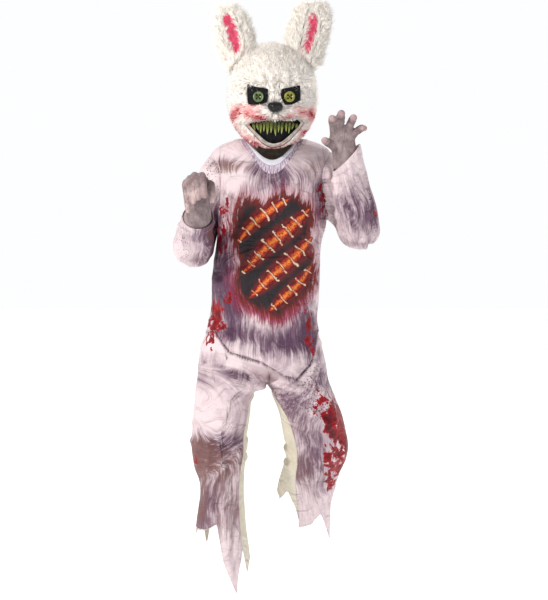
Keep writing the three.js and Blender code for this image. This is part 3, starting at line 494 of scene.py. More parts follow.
def patchObject(name, outline, rings, place, wall):
    bm = bmesh.new()
    patchPart(bm, outline, rings, place)
    return addObject(name, bm, wall)


# Cloth wall to the inside of a shell
def addWall(holder, thickness):
    wall = holder.modifiers.new("wall", "SOLIDIFY")
    wall.thickness = thickness * mm
    wall.offset = -1
    wall.use_even_offset = False


# Removes what lies inside another solid and pulls the cut edge onto its surface
def trimInside(bm, valueOf):
    verts = list(bm.verts)
    level = dict(zip(verts, valueOf(np.array([vert.co for vert in verts]) / mm)))
    gone, moves = [], []
    for vert in verts:
        if level[vert] >= 1:
            continue
        outer = [other for other in (e.other_vert(vert) for e in vert.link_edges) if level[other] >= 1]
        if not outer:
            gone.append(vert)
            continue
        other = min(outer, key=lambda found: (found.co - vert.co).length)
        share = (1 - level[vert]) / max(level[other] - level[vert], 1e-6)
        moves.append((vert, vert.co.lerp(other.co, min(max(share, 0), 0.96))))
    for vert, place in moves:
        vert.co = place
    bmesh.ops.delete(bm, geom=gone, context="VERTS")


leftFrames = sleeveFrames(leftStations)
rightFrames = sleeveFrames(rightStations)
topDense, hipDense = denseTable(topSections), denseTable(hipSections)
leftLegDense, rightLegDense = denseTable(leftLegSections), denseTable(rightLegSections)


def hemAt(hem, x):
    marks = np.array(hem, float)
    return np.interp(x, marks[:, 0], marks[:, 1])


def neckValue(points, band=neck["band"]):
    across = points[..., 0] / (neck["halfWidth"] + band)
    through = (points[..., 1] - neck["centreY"]) / (neck["halfDepth"] + band)
    return np.sqrt(across**2 + through**2)


# Shoulder seam at the middle of the flat top, then out to the edge and down
def topColumns(turns, low):
    heights = np.concatenate((np.linspace(18, -8, 14), np.arange(-12, low, -3.0)))
    rings = ringPoint(topDense, topFolds, turns[None, :], heights[:, None])
    left, right, front, back = columnsAt(topDense, 18)
    shares = np.linspace(0, 1, 12)[:-1, None]
    edge = rings[0]
    seam = np.stack((edge[:, 0], np.full(len(turns), (front + back) / 2), np.full(len(turns), 18.0)), -1)
    flat = seam[None] + (edge - seam)[None] * shares[..., None]
    return np.concatenate((flat, rings))


# Lines of machine stitching, gathered as the cloth is made
stitchPaths = []


# Half of the top's body, from the neck seam to the ragged hem
def topPanel(name, turns, hem, creases, seed):
    raw = topColumns(turns, -620)
    starts = crossing(neckValue(raw), 1.0, 0)
    ends = crossing(hemAt(hem, raw[..., 0]) - raw[..., 2], 0.0, len(raw) - 1)
    points = resampleColumns(raw, starts, ends, round(620 / cloth["step"]))
    middle = (0, 0, -250)
    normal = sheetNormals(points, middle)
    shift = creaseShift(points[..., 0], points[..., 2], creases)
    shift += softNoise(points, 95, seed, (1, 1, 1.6)) * cloth["drape"]
    shift *= smoothStep((neckValue(points) - 1.02) / 0.25)
    sleeves = np.minimum(tubeValue(leftFrames, points), tubeValue(rightFrames, points))
    shift *= smoothStep((sleeves - 1.0) / 0.35)
    edge = np.abs((turns[None, :] - 180) % 180)
    shift *= smoothStep(np.minimum(edge, 180 - edge) / 9)
    points = points + normal * shift[..., None]
    stitchPaths.append(points[2] + normal[2] * 0.5)
    bm = bmesh.new()
    gridPart(bm, points, False, middle)
    for frames in (leftFrames, rightFrames):
        trimInside(bm, lambda found: tubeValue(frames, found))
    return addObject(name, bm)


def buildTop():
    front = topPanel("topFront", np.linspace(180.2, 359.8, 121), topFrontHem, frontCreases, 4)
    return front, topPanel("topBack", np.linspace(179.8, 0.2, 101), topBackHem, backCreases, 3)


# Sleeve from the armhole to the open cuff
def sleevePart(name, frames, creases, seed):
    turns = np.linspace(0, 2 * np.pi, 97)
    raw = np.stack([tubePoint(frames, row, turns) for row in range(len(frames["centre"]))])
    starts = crossing(sectionValue(topDense, raw), 1.0, 0)
    points = resampleColumns(raw, starts, np.full(len(turns), len(raw) - 1.0), 78)
    line = frames["centre"][np.linspace(0, len(frames["centre"]) - 1, len(points)).astype(int)][:, None]
    normal = ringNormals(points)
    normal *= np.sign((normal * (points - line)).sum(axis=-1, keepdims=True))
    shift = creaseShift(points[..., 0], points[..., 2], creases)
    shift += softNoise(points, 70, seed) * cloth["drape"]
    down = np.linspace(0, 1, len(points))[:, None]
    shift *= smoothStep(down / 0.07) * smoothStep((1 - down) / 0.05)
    points = points + normal * shift[..., None]
    stitchPaths.extend((points[1] + normal[1] * 0.5, points[-4] + normal[-4] * 0.5))
    return gridObject(name, points, True, frames["centre"])


# Half outline of the hips, from the side seam to the centre seam
def hipHalf(shares, z, left, front):
    sizes = columnsAt(hipDense, z)
    middleX, halfX = (sizes[0] + sizes[1]) / 2, (sizes[1] - sizes[0]) / 2
    centre = crotch["x"] + (-0.2 if left else 0.2)
    level = (centre - middleX) / halfX
    turn = np.degrees(np.arccos(np.sign(level) * np.abs(level) ** (cloth["boxiness"] / 2)))
    side = 180.0 if left else 0.0
    degrees = side + (turn - side) * shares
    return ringPoint(hipDense, topFolds, -degrees if front else degrees, z)


def legHalf(shares, z, left, front):
    dense = leftLegDense if left else rightLegDense
    seam = np.interp(z, dense[:, 0], dense[:, 5])
    if left:
        degrees = 180 + (180 + seam) * shares if front else 180 + (seam - 180) * shares
    else:
        degrees = 360 + (seam - 360) * shares if front else seam * shares
    return ringPoint(dense, leftLegFolds if left else rightLegFolds, degrees, z)


def trouserPanel(name, left, front, hem, columns=58):
    shares = np.linspace(0, 1, columns)[None, :]
    heights = np.arange(-418.6, -1130 if left else -1070, -3.0)[:, None]
    weight = smoothStep((crotch["blendFrom"] - heights) / (crotch["blendFrom"] - crotch["z"]))[..., None]
    legs = legHalf(shares, np.minimum(heights, -540.0), left, front)
    hips = hipHalf(shares, np.maximum(heights, -640.0), left, front)
    raw = hips * (1 - weight) + legs * weight
    raw[..., 2] = np.broadcast_to(heights, raw.shape[:2])
    ends = crossing(hemAt(hem, raw[..., 0]) - raw[..., 2], 0.0, len(raw) - 1)
    points = resampleColumns(raw, np.zeros(columns), ends, 116)
    z = points[..., 2]
    line = legMiddles(heights[:, 0], left)
    normal = sheetNormals(points, alongPath(z, line[::-1, 2], line[::-1]))
    shift = creaseShift(points[..., 0], z, frontCreases if front else backCreases)
    shift += softNoise(points, 95, 4 if front else 3, (1, 1, 1.6)) * cloth["drape"]
    shift *= smoothStep(shares / 0.07) * smoothStep((1 - shares) / 0.07) * smoothStep((-418 - z) / 25)
    return gridObject(name, points + normal * shift[..., None], False, line)


def legMiddles(heights, left):
    dense = leftLegDense if left else rightLegDense
    sizes = columnsAt(dense, heights)
    side = -1 if left else 1
    x = np.where(heights > crotch["z"], crotch["x"] + side * 85, (sizes[0] + sizes[1]) / 2)
    return np.stack((x, (sizes[2] + sizes[3]) / 2, heights), -1)


def buildTrousers():
    return {"frontLeft": trouserPanel("trouserFrontLeft", True, True, leftLegFrontHem),
            "backLeft": trouserPanel("trouserBackLeft", True, False, leftLegBackHem),
            "frontRight": trouserPanel("trouserFrontRight", False, True, rightLegFrontHem),
            "backRight": trouserPanel("trouserBackRight", False, False, rightLegBackHem)}


# Bunny mask: rows run from the open back to the tip of the snout
maskSections = [
    (46, 1, 122, 100, 122, 100), (14, 1, 122, 110, 136, 122), (-20, 1, 122, 115, 138, 132),
    (-54, 1, 120, 113, 126, 133), (-84, 2, 114, 100, 104, 126), (-108, 4, 104, 78, 76, 108),
    (-126, 6, 88, 54, 46, 80), (-137, 7, 79, 30, 26, 50), (-141, 7, 77, 10, 9, 18),
]
leftEye = {"outline": [(-62, 152), (-40, 145), (-11, 140), (-13, 107), (-34, 101), (-60, 103)],
           "button": (-34, 120)}
rightEye = {"outline": [(24, 139), (46, 144), (70, 149), (70, 112), (50, 101), (32, 101), (22, 122)],
            "button": (44, 120)}
# The outline is turned round the button's middle
button = {"holeAway": 4.2, "hole": 2.3, "seat": 3.4, "outline": [
    (0, 0.4), (5.6, 0.5), (7.2, 1.2), (8.6, 2.6), (10.4, 3.6), (12.2, 3.4), (13.2, 2.4), (13.5, 0.9), (13.1, -0.8),
    (11.6, -1.4), (0, -1.4)]}
mouth = {"outline": [(-55, 53), (-20, 60), (30, 62), (58, 64), (70, 55), (46, 28), (24, 10), (3, 5), (-14, 11),
                     (-36, 30)], "centre": (4, 42), "lipTop": 56,
         "rim": [(0, -9), (-0.02, -3), (0.06, 1.2), (0.25, 3.4), (0.5, 4.0), (0.75, 3.2), (0.96, 1.0), (1.0, -4)]}
teeth = {"from": -50, "to": 66, "count": 13, "top": 61, "middle": 8, "longest": 38, "sides": 14,
         "shares": (0, 0.14, 0.32, 0.52, 0.72, 0.88, 1.0)}
nose = {"x": 8, "y": -128, "z": 94, "wide": 19, "tall": 14, "deep": 30}
fur = {"skin": -9.5, "wall": 2.0, "strands": 15800, "earStrands": 9700, "pileStrands": 2400, "split": -66,
       "light": (1.0, 0.965, 0.915), "dark": (0.55, 0.47, 0.42), "red": (0.42, 0.012, 0.03), "pink": (0.8, 0.13, 0.17),
       "earLight": (0.98, 0.94, 0.885), "earDark": (0.45, 0.4, 0.35), "pile": (0.93, 0.15, 0.27),
       "pileDark": (0.3, 0.015, 0.05), "middle": (1, 60, 120)}
earSections = {
    "left": [(178, -100, -44, -34, 6), (205, -125, -46, -36, 4), (231, -138, -42, -37, 0),
             (258, -146, -42, -37, -3), (291, -153, -50, -36, -5), (322, -154, -64, -34, -7),
             (342, -145, -80, -32, -9), (356, -130, -92, -28, -13)],
    "right": [(178, 46, 98, -34, 6), (205, 42, 120, -36, 4), (231, 37, 131, -37, 0), (256, 34, 139, -37, -3),
              (284, 35, 145, -36, -5), (312, 46, 150, -34, -7), (338, 58, 146, -32, -8), (355, 72, 136, -30, -11),
              (364, 88, 118, -26, -15)],
}
earLinings = {
    "left": [(-122, 322), (-108, 330), (-92, 300), (-80, 256), (-78, 232), (-94, 228), (-110, 262), (-121, 296)],
    "right": [(98, 332), (110, 326), (114, 300), (104, 262), (92, 232), (78, 234), (84, 272), (90, 306)],
}


maskRows = smoothRows(maskSections, 260)


# Points of the mask's skin, lifted by some millimetres
def maskGrid(turns, lift, rows):
    y, middleX, middleZ, wide, up, down = smoothRows(maskSections, rows).T[:, :, None]
    sine = np.sin(turns)[None, :]
    x = middleX + wide * np.cos(turns)[None, :]
    z = middleZ + np.where(sine > 0, up, down) * sine
    points = np.stack(np.broadcast_arrays(x, y, z), -1)
    normal = ringNormals(points)
    outward = points - np.stack((middleX, y + 60, middleZ), -1)
    return points + normal * np.sign((normal * outward).sum(axis=-1, keepdims=True)) * lift


# Half sizes and middle of the mask at a fractional row
def maskAt(place):
    return [np.interp(place, np.arange(len(maskRows)), maskRows[:, column]) for column in range(6)]


# Depth of the mask's front at a place seen from the front
def maskFront(x, z, lift=0.0):
    x, z = np.asarray(x, float), np.asarray(z, float)
    low = np.zeros(np.broadcast(x, z).shape)
    high = low + len(maskRows) - 1
    for _ in range(18):
        middle = (low + high) / 2
        y, middleX, middleZ, wide, up, down = maskAt(middle)
        outside = ((x - middleX) / wide) ** 2 + ((z - middleZ) / np.where(z > middleZ, up, down)) ** 2 > 1
        high = np.where(outside, middle, high)
        low = np.where(outside, low, middle)
    return maskAt((low + high) / 2)[0] - lift


# Distance to a straight line between two points, and the share of the way along it
def lineDistance(x, z, start, end):
    edge = np.subtract(end, start, dtype=float)
    share = np.clip(((x - start[0]) * edge[0] + (z - start[1]) * edge[1]) / (edge @ edge), 0, 1)
    return np.hypot(x - start[0] - share * edge[0], z - start[1] - share * edge[1])


# Signed distance to an outline, below zero inside
def outlineDistance(outline, x, z):
    marks = np.array(outline, float)
    best = np.full(np.shape(x), 1e9)
    inside = np.zeros(np.shape(x), bool)
    for start, end in zip(marks, np.roll(marks, -1, axis=0)):
        best = np.minimum(best, lineDistance(x, z, start, end))
        if start[1] != end[1]:
            slope = (end[0] - start[0]) / (end[1] - start[1])
            inside ^= ((start[1] > z) != (end[1] > z)) & (x < start[0] + (z - start[1]) * slope)
    return np.where(inside, -best, best)


def roundOutline(outline, steps=6, pull=0.5):
    here = np.array(outline, float)
    before, after, last = [np.roll(here, step, axis=0) for step in (1, -1, -2)]
    t = (np.arange(steps) / steps)[None, :, None]
    found = cubic(t, here[:, None], ((after - before) * pull)[:, None], after[:, None], ((last - here) * pull)[:, None])
    return found.reshape(-1, 2)


def grown(outline, away, upper=None):
    marks = np.array(outline, float)
    middle = np.array(mouth["centre"], float)
    reach = np.linalg.norm(marks - middle, axis=1)
    step = np.where(marks[:, 1] > mouth["lipTop"], away if upper is None else upper, away)
    return middle + (marks - middle) * ((reach + step) / reach)[:, None]


# Flat-cut piece laid over a surface: rings shrink to the middle of the outline
def patchPart(bm, outline, rings, place):
    marks = np.array(outline, float)
    middle = marks.mean(axis=0)
    made = []
    for share in np.linspace(1, 0, rings + 1)[:-1]:
        ring = middle + (marks - middle) * share
        depths = place(ring[:, 0], ring[:, 1])
        made.append([bm.verts.new((x * mm, depth * mm, z * mm)) for (x, z), depth in zip(ring, depths)])
    layer = bm.loops.layers.uv.verify()
    for pair in zip(made, made[1:]):
        sides = [side for ring in pair for side in zip(ring, ring[1:] + ring[:1])]
        bmesh.ops.bridge_loops(bm, edges=[bm.edges.get(side) or bm.edges.new(side) for side in sides])
    bm.faces.new(made[-1])
    for face in bm.faces:
        for loop in face.loops:
            loop[layer].uv = (loop.vert.co.x, loop.vert.co.z)
    bm.normal_update()
    if sum(face.normal.y * face.calc_area() for face in bm.faces) > 0:
        bmesh.ops.reverse_faces(bm, faces=list(bm.faces))


# Tapered three-sided strands as one mesh, bent from root to tip
def strandMesh(name, roots, ways, normals, lengths, widths, tints, lift=0.35, seed=5):
    chance = np.random.default_rng(seed)
    count = len(roots)
    ways = unit(ways - normals * (ways * normals).sum(axis=1)[:, None])
    sides = np.cross(normals, ways)
    sway = chance.normal(0, 0.16, (count, 1)) * lengths[:, None]
    corners = []
    for share, rise, size in ((0.0, 0.0, 1.0), (0.5, 0.75, 0.85), (1.0, 1.0, 0.0)):
        centre = roots + ways * (lengths * share)[:, None] + normals * (lengths * lift * rise)[:, None]
        centre = centre + sides * (sway * share * share)
        for turn in np.radians([90, 210, 330] if size else [90]):
            reach = (widths * size / 2)[:, None]
            corners.append(centre + (sides * math.cos(turn) + normals * math.sin(turn)) * reach)
    points = np.stack(corners, axis=1).reshape(-1, 3)
    pattern = []
    for step, after in ((0, 1), (1, 2), (2, 0)):
        pattern += [(step, after, 3 + after), (step, 3 + after, 3 + step), (3 + step, 3 + after, 6)]
    faces = (np.arange(count)[:, None, None] * 7 + np.array(pattern)[None]).reshape(-1, 3)
    mesh = bpy.data.meshes.new(name)
    mesh.vertices.add(len(points))
    mesh.vertices.foreach_set("co", (points * mm).ravel())
    mesh.loops.add(len(faces) * 3)
    mesh.loops.foreach_set("vertex_index", faces.ravel())
    mesh.polygons.add(len(faces))
    mesh.polygons.foreach_set("loop_start", np.arange(len(faces)) * 3)
    mesh.update(calc_edges=True)
    mesh.shade_smooth()
    # Height along each strand, kept in the tint's alpha, drives the fur's painted root shade
    height = np.tile([0, 0, 0, 0.6, 0.6, 0.6, 1], count)
    colours = mesh.attributes.new("tint", "FLOAT_COLOR", "POINT")
    colours.data.foreach_set("color", np.column_stack((np.repeat(tints, 7, axis=0), height)).ravel())
    return addHolder(name, mesh)


# Random places on a grid of points, spread evenly over its area
def scatter(points, count, seed):
    chance = np.random.default_rng(seed)
    across = points[:-1, 1:] - points[:-1, :-1]
    down = points[1:, :-1] - points[:-1, :-1]
    normal = np.cross(across, down)
    area = np.linalg.norm(normal, axis=-1)
    cells = chance.choice(area.size, size=count, p=(area / area.sum()).ravel())
    rows, columns = np.unravel_index(cells, area.shape)
    s, t = chance.uniform(size=(2, count, 1))
    place = points[rows, columns] + across[rows, columns] * s + down[rows, columns] * t
    return place, normal[rows, columns] / np.maximum(area[rows, columns], 1e-9)[:, None], chance


def faceOut(normals, places, middle):
    return normals * np.sign((normals * (places - middle)).sum(axis=1, keepdims=True))


def neckPlugValue(points):
    across = points[..., 0] / 60
    through = (points[..., 1] - 12) / 66
    return np.where(points[..., 2] > 68, 9.0, np.sqrt(across**2 + through**2))


def throughMouth(points, away):
    outline = roundOutline(grown(mouth["outline"], away, away * 0.35))
    inside = outlineDistance(outline, points[..., 0], points[..., 2])
    return np.where(points[..., 1] < -40, 1 + inside / 20, 9.0)


# Stained fur: x0, z0, x1, z1, half width, strength
maskStains = [
    (-40, 92, -74, 88, 9, 0.45), (-74, 88, -94, 68, 10, 0.8), (-94, 68, -88, 42, 10, 0.95),
    (-88, 42, -66, 26, 8, 0.7), (-66, 26, -42, 10, 7, 0.75), (-42, 10, -14, -6, 6, 0.6), (-14, -6, 30, -6, 6, 0.75),
    (30, -6, 58, 10, 6, 0.5), (-52, 78, -34, 76, 6, 0.9), (-26, 74, -12, 70, 6, 1.0), (20, 72, 36, 76, 5, 0.6),
    (56, 84, 86, 82, 9, 0.5), (86, 82, 106, 66, 10, 0.85), (106, 66, 100, 42, 10, 0.95), (100, 42, 80, 34, 9, 0.75),
    (-60, 84, -20, 86, 5, 0.35), (74, 28, 60, 12, 6, 0.4),
]


def stainAt(x, z, stains):
    amount = np.zeros(np.shape(x))
    for x0, z0, x1, z1, width, strength in stains:
        away = lineDistance(x, z, (x0, z0), (x1, z1))
        amount = np.maximum(amount, strength * np.exp(-((away / width) ** 2)))
    return amount


def furTints(chance, count, light, dark, share):
    mix = chance.beta(1.2, 5.0, count)[:, None]
    mix = np.where(chance.uniform(size=(count, 1)) < share, 0.55 + 0.4 * mix, mix)
    return np.array(light) * (1 - mix) + np.array(dark) * mix


def openEdges(bm):
    return [edge for edge in bm.edges if edge.is_boundary]


# Backing cloth of the mask with its mouth hole, and its fur in two pieces
def buildMaskFur():
    points = maskGrid(np.linspace(0, 2 * np.pi, 133), fur["skin"], 84)
    bm = bmesh.new()
    gridPart(bm, points[points[:, 0, 1] < 40], True, (1, 40, 120))
    tip = [edge for edge in openEdges(bm) if edge.verts[0].co.y < -0.1]
    bmesh.ops.poke(bm, faces=bmesh.ops.holes_fill(bm, edges=tip, sides=400)["faces"])
    trimInside(bm, lambda found: throughMouth(found, 1.5))
    trimInside(bm, neckPlugValue)
    trimInside(bm, lambda found: sectionValue(topDense, found, 4.0))
    skin = addObject("maskSkin", bm, fur["wall"])
    return skin, maskStrands("maskFaceFur", 21, True), maskStrands("maskCrownFur", 22, False)


def maskStrands(name, seed, front):
    grid = maskGrid(np.linspace(0, 2 * np.pi, 361), fur["skin"] + 0.4, 240)
    grid = grid[(grid[:, 0, 1] < 38)]
    tip = np.broadcast_to(grid[-1].mean(axis=0), grid[-1].shape)
    grid = np.concatenate((grid, (grid[-1] * 0.6 + tip * 0.4)[None], (grid[-1] * 0.02 + tip * 0.98)[None]))
    places, normals, chance = scatter(grid, fur["strands"] * 3, seed)
    normals = faceOut(normals, places, fur["middle"])
    x, y, z = places.T
    lips = roundOutline(grown(mouth["outline"], 8, 3))
    nearEye = np.minimum(outlineDistance(leftEye["outline"], x, z), outlineDistance(rightEye["outline"], x, z))
    nearMouth = outlineDistance(lips, x, z)
    keep = (y < fur["split"]) if front else (y >= fur["split"])
    keep &= ((nearEye > -0.5) & (nearMouth > 0)) | (y > -40)
    keep &= ((x - nose["x"]) / (nose["wide"] - 3)) ** 2 + ((z - nose["z"]) / (nose["tall"] - 2)) ** 2 > 1
    keep &= (neckPlugValue(places) > 1.04) & (sectionValue(topDense, places, 14.0) > 1)
    kept = np.nonzero(keep)[0][:fur["strands"]]
    places, normals, nearEye, nearMouth = places[kept], normals[kept], nearEye[kept], nearMouth[kept]
    x, y, z = places.T
    ways = places - np.array((8, -165, 92))
    ways[:, 2] += np.where(z > 150, 30, 0)
    clump, tuft = softVectors(places, 22, seed + 40), softVectors(places, 9, seed + 50)
    ways = unit(ways) + clump * 0.4 + tuft * 0.34 + chance.normal(0, 0.1, ways.shape)
    lengths = np.where(z > 206, 21.0, 16.5) * chance.uniform(0.7, 1.2, len(x)) * (1 + 0.16 * tuft[:, 0])
    lengths *= np.where((z > 150) & (np.abs(x - 2) > 56) & (y > -80), 1.25, 1.0)
    facing = y < -60
    lengths = np.where((z < 130) & (nearEye < 8) & facing, 8.0, lengths)
    lengths = np.where((nearMouth < 9) & facing, 8.5, lengths)
    droop = (smoothStep((176 - z) / 26) * smoothStep((z - 132) / 6) * facing * (np.abs(x - 4) < 92))[:, None]
    ways = ways * (1 - 0.6 * droop) + np.array((0, -0.45, -0.6)) * droop
    widths = chance.uniform(1.2, 2.1, len(x))
    tints = furTints(chance, len(x), fur["light"], fur["dark"], np.where(z > 206, 0.16, 0.03)[:, None])
    tints *= (np.where(z > 216, 0.95, 1.0) * (0.97 + 0.07 * tuft[:, 1]))[:, None]
    red = stainAt(x + softNoise(places, 16, 77) * 5, z + softNoise(places, 16, 78) * 4, maskStains) * (y < -30)
    red = np.clip(np.clip(red * chance.uniform(0.55, 1.35, len(x)), 0, 1) * 1.35, 0, 1)[:, None]
    tints = tints * (1 - red) + np.where(red > 0.8, fur["red"], fur["pink"]) * red
    brow = (z > 138) & (z < 172) & facing & (np.abs(x - 4) < 86)
    lengths *= np.where(brow, np.where(z < 156, 0.95, 1.2), 1.0)
    return strandMesh(name, places, ways, normals, lengths, widths, tints, 0.5 + 0.1 * clump[:, 0], seed)


def earGrid(side, inset, rows, columns):
    table = smoothRows(earSections[side], rows)
    turns = np.linspace(0, 2 * np.pi, columns)[None, :]
    z, left, right, front, back = table.T[:, :, None]
    wide = np.maximum((right - left) / 2 - inset, 5)
    deep = np.maximum((back - front) / 2 - inset * 0.75, 4)
    x = (left + right) / 2 + wide * squared(np.cos(turns))
    y = (front + back) / 2 + deep * squared(np.sin(turns))
    return np.stack(np.broadcast_arrays(x, y, np.minimum(z, table[-1, 0] - inset)), -1)


# Front face of an ear at a place seen from the front
def earFront(side, x, z, inset):
    table = smoothRows(earSections[side], 90)
    left, right, front, back = [np.interp(z, table[:, 0], table[:, column]) for column in range(1, 5)]
    across = np.clip(np.abs(x - (left + right) / 2) / np.maximum((right - left) / 2 - inset, 5), 0, 0.98)
    deep = np.maximum((back - front) / 2 - inset * 0.75, 4)
    return (front + back) / 2 - deep * (1 - across ** cloth["boxiness"]) ** (1 / cloth["boxiness"])


def buildEar(side):
    sign = -1 if side == "left" else 1
    grid = earGrid(side, 9, 60, 57)
    bm = bmesh.new()
    line = grid[:, :-1].mean(axis=1)
    gridPart(bm, grid, True, line)
    bmesh.ops.holes_fill(bm, edges=openEdges(bm), sides=400)
    skin = addObject(f"earSkin{side.title()}", bm, fur["wall"])
    places, normals, chance = scatter(earGrid(side, 8.6, 160, 145), 24000, 31 + sign)
    middle = alongPath(places[:, 2], line[:, 2], line)
    normals = faceOut(normals, places, middle)
    lining = outlineDistance(roundOutline(earLinings[side]), places[:, 0], places[:, 2])
    front = places[:, 1] < line[:, 1].mean() - 4
    kept = np.nonzero((~front | (lining > 0.5)) & (maskFrontValue(places) > 1.02))[0][:fur["earStrands"]]
    places, normals, middle, lining, front = [values[kept] for values in (places, normals, middle, lining, front)]
    away = places - middle
    clump, tuft = softVectors(places, 20, 60 + sign), softVectors(places, 10, 80 + sign)
    ways = np.array((0.28 * sign, 0.0, 1.0)) + away / 40 + clump * 0.4 + tuft * 0.4
    ways += chance.normal(0, 0.1, ways.shape)
    inward = np.mean(earLinings[side], axis=0)[0] - places[:, 0]
    ways[:, 0] += np.where(front & (lining < 9), np.sign(inward) * 0.8, 0)
    lengths = chance.uniform(14, 24, len(kept)) * np.where(front & (lining < 6), 0.8, 1.0) * (1 + 0.15 * tuft[:, 0])
    lengths *= np.where(places[:, 2] < 215, 1.2, 1.0)
    widths = chance.uniform(1.2, 2.1, len(kept))
    tints = furTints(chance, len(kept), fur["earLight"], fur["earDark"], 0.12)
    # Painted shade towards the ear's sides, with random lighter and darker tufts
    tints *= (1.02 - 0.1 * np.abs(away[:, 0]) / 46 + 0.08 * tuft[:, 1])[:, None]
    lift = 0.42 + 0.1 * clump[:, 0]
    return skin, strandMesh(f"earFur{side.title()}", places, ways, normals, lengths, widths, tints, lift, 33)


# Below 1 inside the mask's outer form
def maskFrontValue(points):
    order = np.interp(points[:, 1], maskRows[::-1, 0], np.arange(len(maskRows))[::-1])
    y, middleX, middleZ, wide, up, down = maskAt(order)
    across = (points[:, 0] - middleX) / (wide - 6)
    rise = (points[:, 2] - middleZ) / (np.where(points[:, 2] > middleZ, up, down) - 6)
    return np.sqrt(across**2 + rise**2)


def buildLining(side):
    outline = roundOutline(earLinings[side], 7)
    patch = patchObject(f"earPink{side.title()}", outline, 14, lambda x, z: earFront(side, x, z, 3.5), 1.6)
    chance = np.random.default_rng(51)
    x, z = [chance.uniform(outline[:, axis].min(), outline[:, axis].max(), 9000) for axis in (0, 1)]
    kept = np.nonzero(outlineDistance(outline, x, z) < -0.5)[0][:fur["pileStrands"]]
    x, z = x[kept], z[kept]
    places = np.stack((x, earFront(side, x, z, 3.5), z), -1)
    normals = np.tile((0.0, -1.0, 0.0), (len(kept), 1))
    ways = np.array((0.1, 0, 1.0)) + softVectors(places, 12, 90) * 0.9 + chance.normal(0, 0.3, (len(kept), 3))
    tints = furTints(chance, len(kept), fur["pile"], fur["pileDark"], 0.3)
    lengths, widths = chance.uniform(5, 9, len(kept)), chance.uniform(1.0, 1.6, len(kept))
    return patch, strandMesh(f"earPile{side.title()}", places, ways, normals, lengths, widths, tints, 0.35, 52)


def buildEye(side, eye):
    outline = roundOutline(eye["outline"], 6, 0.18)
    pad = patchObject(f"eyePad{side}", outline, 12, lambda x, z: maskFront(x, z, 1.0), 2.2)
    return pad, buildButton(side, eye["button"])


# Four-hole button: a lathe-turned disc with real holes cut through
def buildButton(side, place):
    x, z = place
    bm = bmesh.new()
    verts = [bm.verts.new((away * mm, -rise * mm, 0)) for away, rise in button["outline"]]
    edges = [bm.edges.new(pair) for pair in zip(verts, verts[1:])]
    bmesh.ops.spin(bm, geom=verts + edges, cent=(0, 0, 0), axis=(0, 1, 0), dvec=(0, 0, 0),
                   angle=2 * math.pi, steps=56, use_merge=True)
    bmesh.ops.remove_doubles(bm, verts=list(bm.verts), dist=0.00003)
    bmesh.ops.recalc_face_normals(bm, faces=list(bm.faces))
    disc = addObject(f"eyeButton{side}", bm)
    cutter = bmesh.new()
    away, radius = button["holeAway"] * mm, button["hole"] * mm
    for dx, dz in ((-1, -1), (1, -1), (1, 1), (-1, 1)):
        made = bmesh.ops.create_cone(cutter, cap_ends=True, segments=20, radius1=radius, radius2=radius, depth=20 * mm)
        for vert in made["verts"]:
            vert.co = Vector((vert.co.x + dx * away, vert.co.z, vert.co.y + dz * away))
    bmesh.ops.recalc_face_normals(cutter, faces=list(cutter.faces))
    drill = addObject("drill", cutter, None, False)
    cut = disc.modifiers.new("holes", "BOOLEAN")
    cut.object = drill
    cut.solver = "EXACT"
    applyModifiers(disc)
    bpy.data.objects.remove(drill, do_unlink=True)
    slope = (maskFront(x + 4, z) - maskFront(x - 4, z)) / 8, (maskFront(x, z + 4) - maskFront(x, z - 4)) / 8
    depth = float(maskFront(x, z, button["seat"])) - 1.2
    for vert in disc.data.vertices:
        lean = vert.co.x * slope[0] * 0.8 + vert.co.z * slope[1] * 0.8
        vert.co = Vector((x * mm + vert.co.x, depth * mm + vert.co.y + lean, z * mm + vert.co.z))
    disc.data.shade_smooth()
    return disc


def applyModifiers(holder):
    graph = bpy.context.evaluated_depsgraph_get()
    made = bpy.data.meshes.new_from_object(holder.evaluated_get(graph))
    holder.modifiers.clear()
    old = holder.data
    holder.data = made
    bpy.data.meshes.remove(old)


# Thread crossed through a button's holes
def buildThread(side, place):
    x, z = place
    depth = float(maskFront(x, z, button["seat"])) - 2.6
    away = button["holeAway"]
    bm = bmesh.new()
    for startX, startZ in ((-1, -1), (1, -1)):
        for offset in (-0.5, 0.4):
            path = []
            for t in (0, 0.2, 0.5, 0.8, 1):
                rise = math.sin(t * math.pi) - 1.6 * (t in (0, 1))
                across, up = [start * (1 - 2 * t) * away + offset for start in (startX, startZ)]
                path.append(Vector((x + across, depth - rise, z + up)))
            tubeAlong(bm, path, [0.5] * len(path), 6)
    return addObject(f"buttonThread{side}", bm)


# Faces between rings of vertices, with both ends shut
def skinRings(bm, rings):
    for lower, upper in zip(rings, rings[1:]):
        for step in range(len(lower)):
            after = (step + 1) % len(lower)
            bm.faces.new((lower[step], lower[after], upper[after], upper[step]))
    bm.faces.new(rings[0][::-1])
    bm.faces.new(rings[-1])


# Closed round tube along a path in millimetres
def tubeAlong(bm, path, sizes, sides):
    rings = []
    up = Vector((0.13, 0.31, 0.94))
    for index, (place, size) in enumerate(zip(path, sizes)):
        along = (path[min(index + 1, len(path) - 1)] - path[max(index - 1, 0)]).normalized()
        up = (up - along * up.dot(along)).normalized()
        over = along.cross(up)
        turns = [2 * math.pi * step / sides for step in range(sides)]
        rings.append([bm.verts.new((place + up * (size * math.cos(turn)) + over * (size * math.sin(turn))) * mm)
                      for turn in turns])
    skinRings(bm, rings)


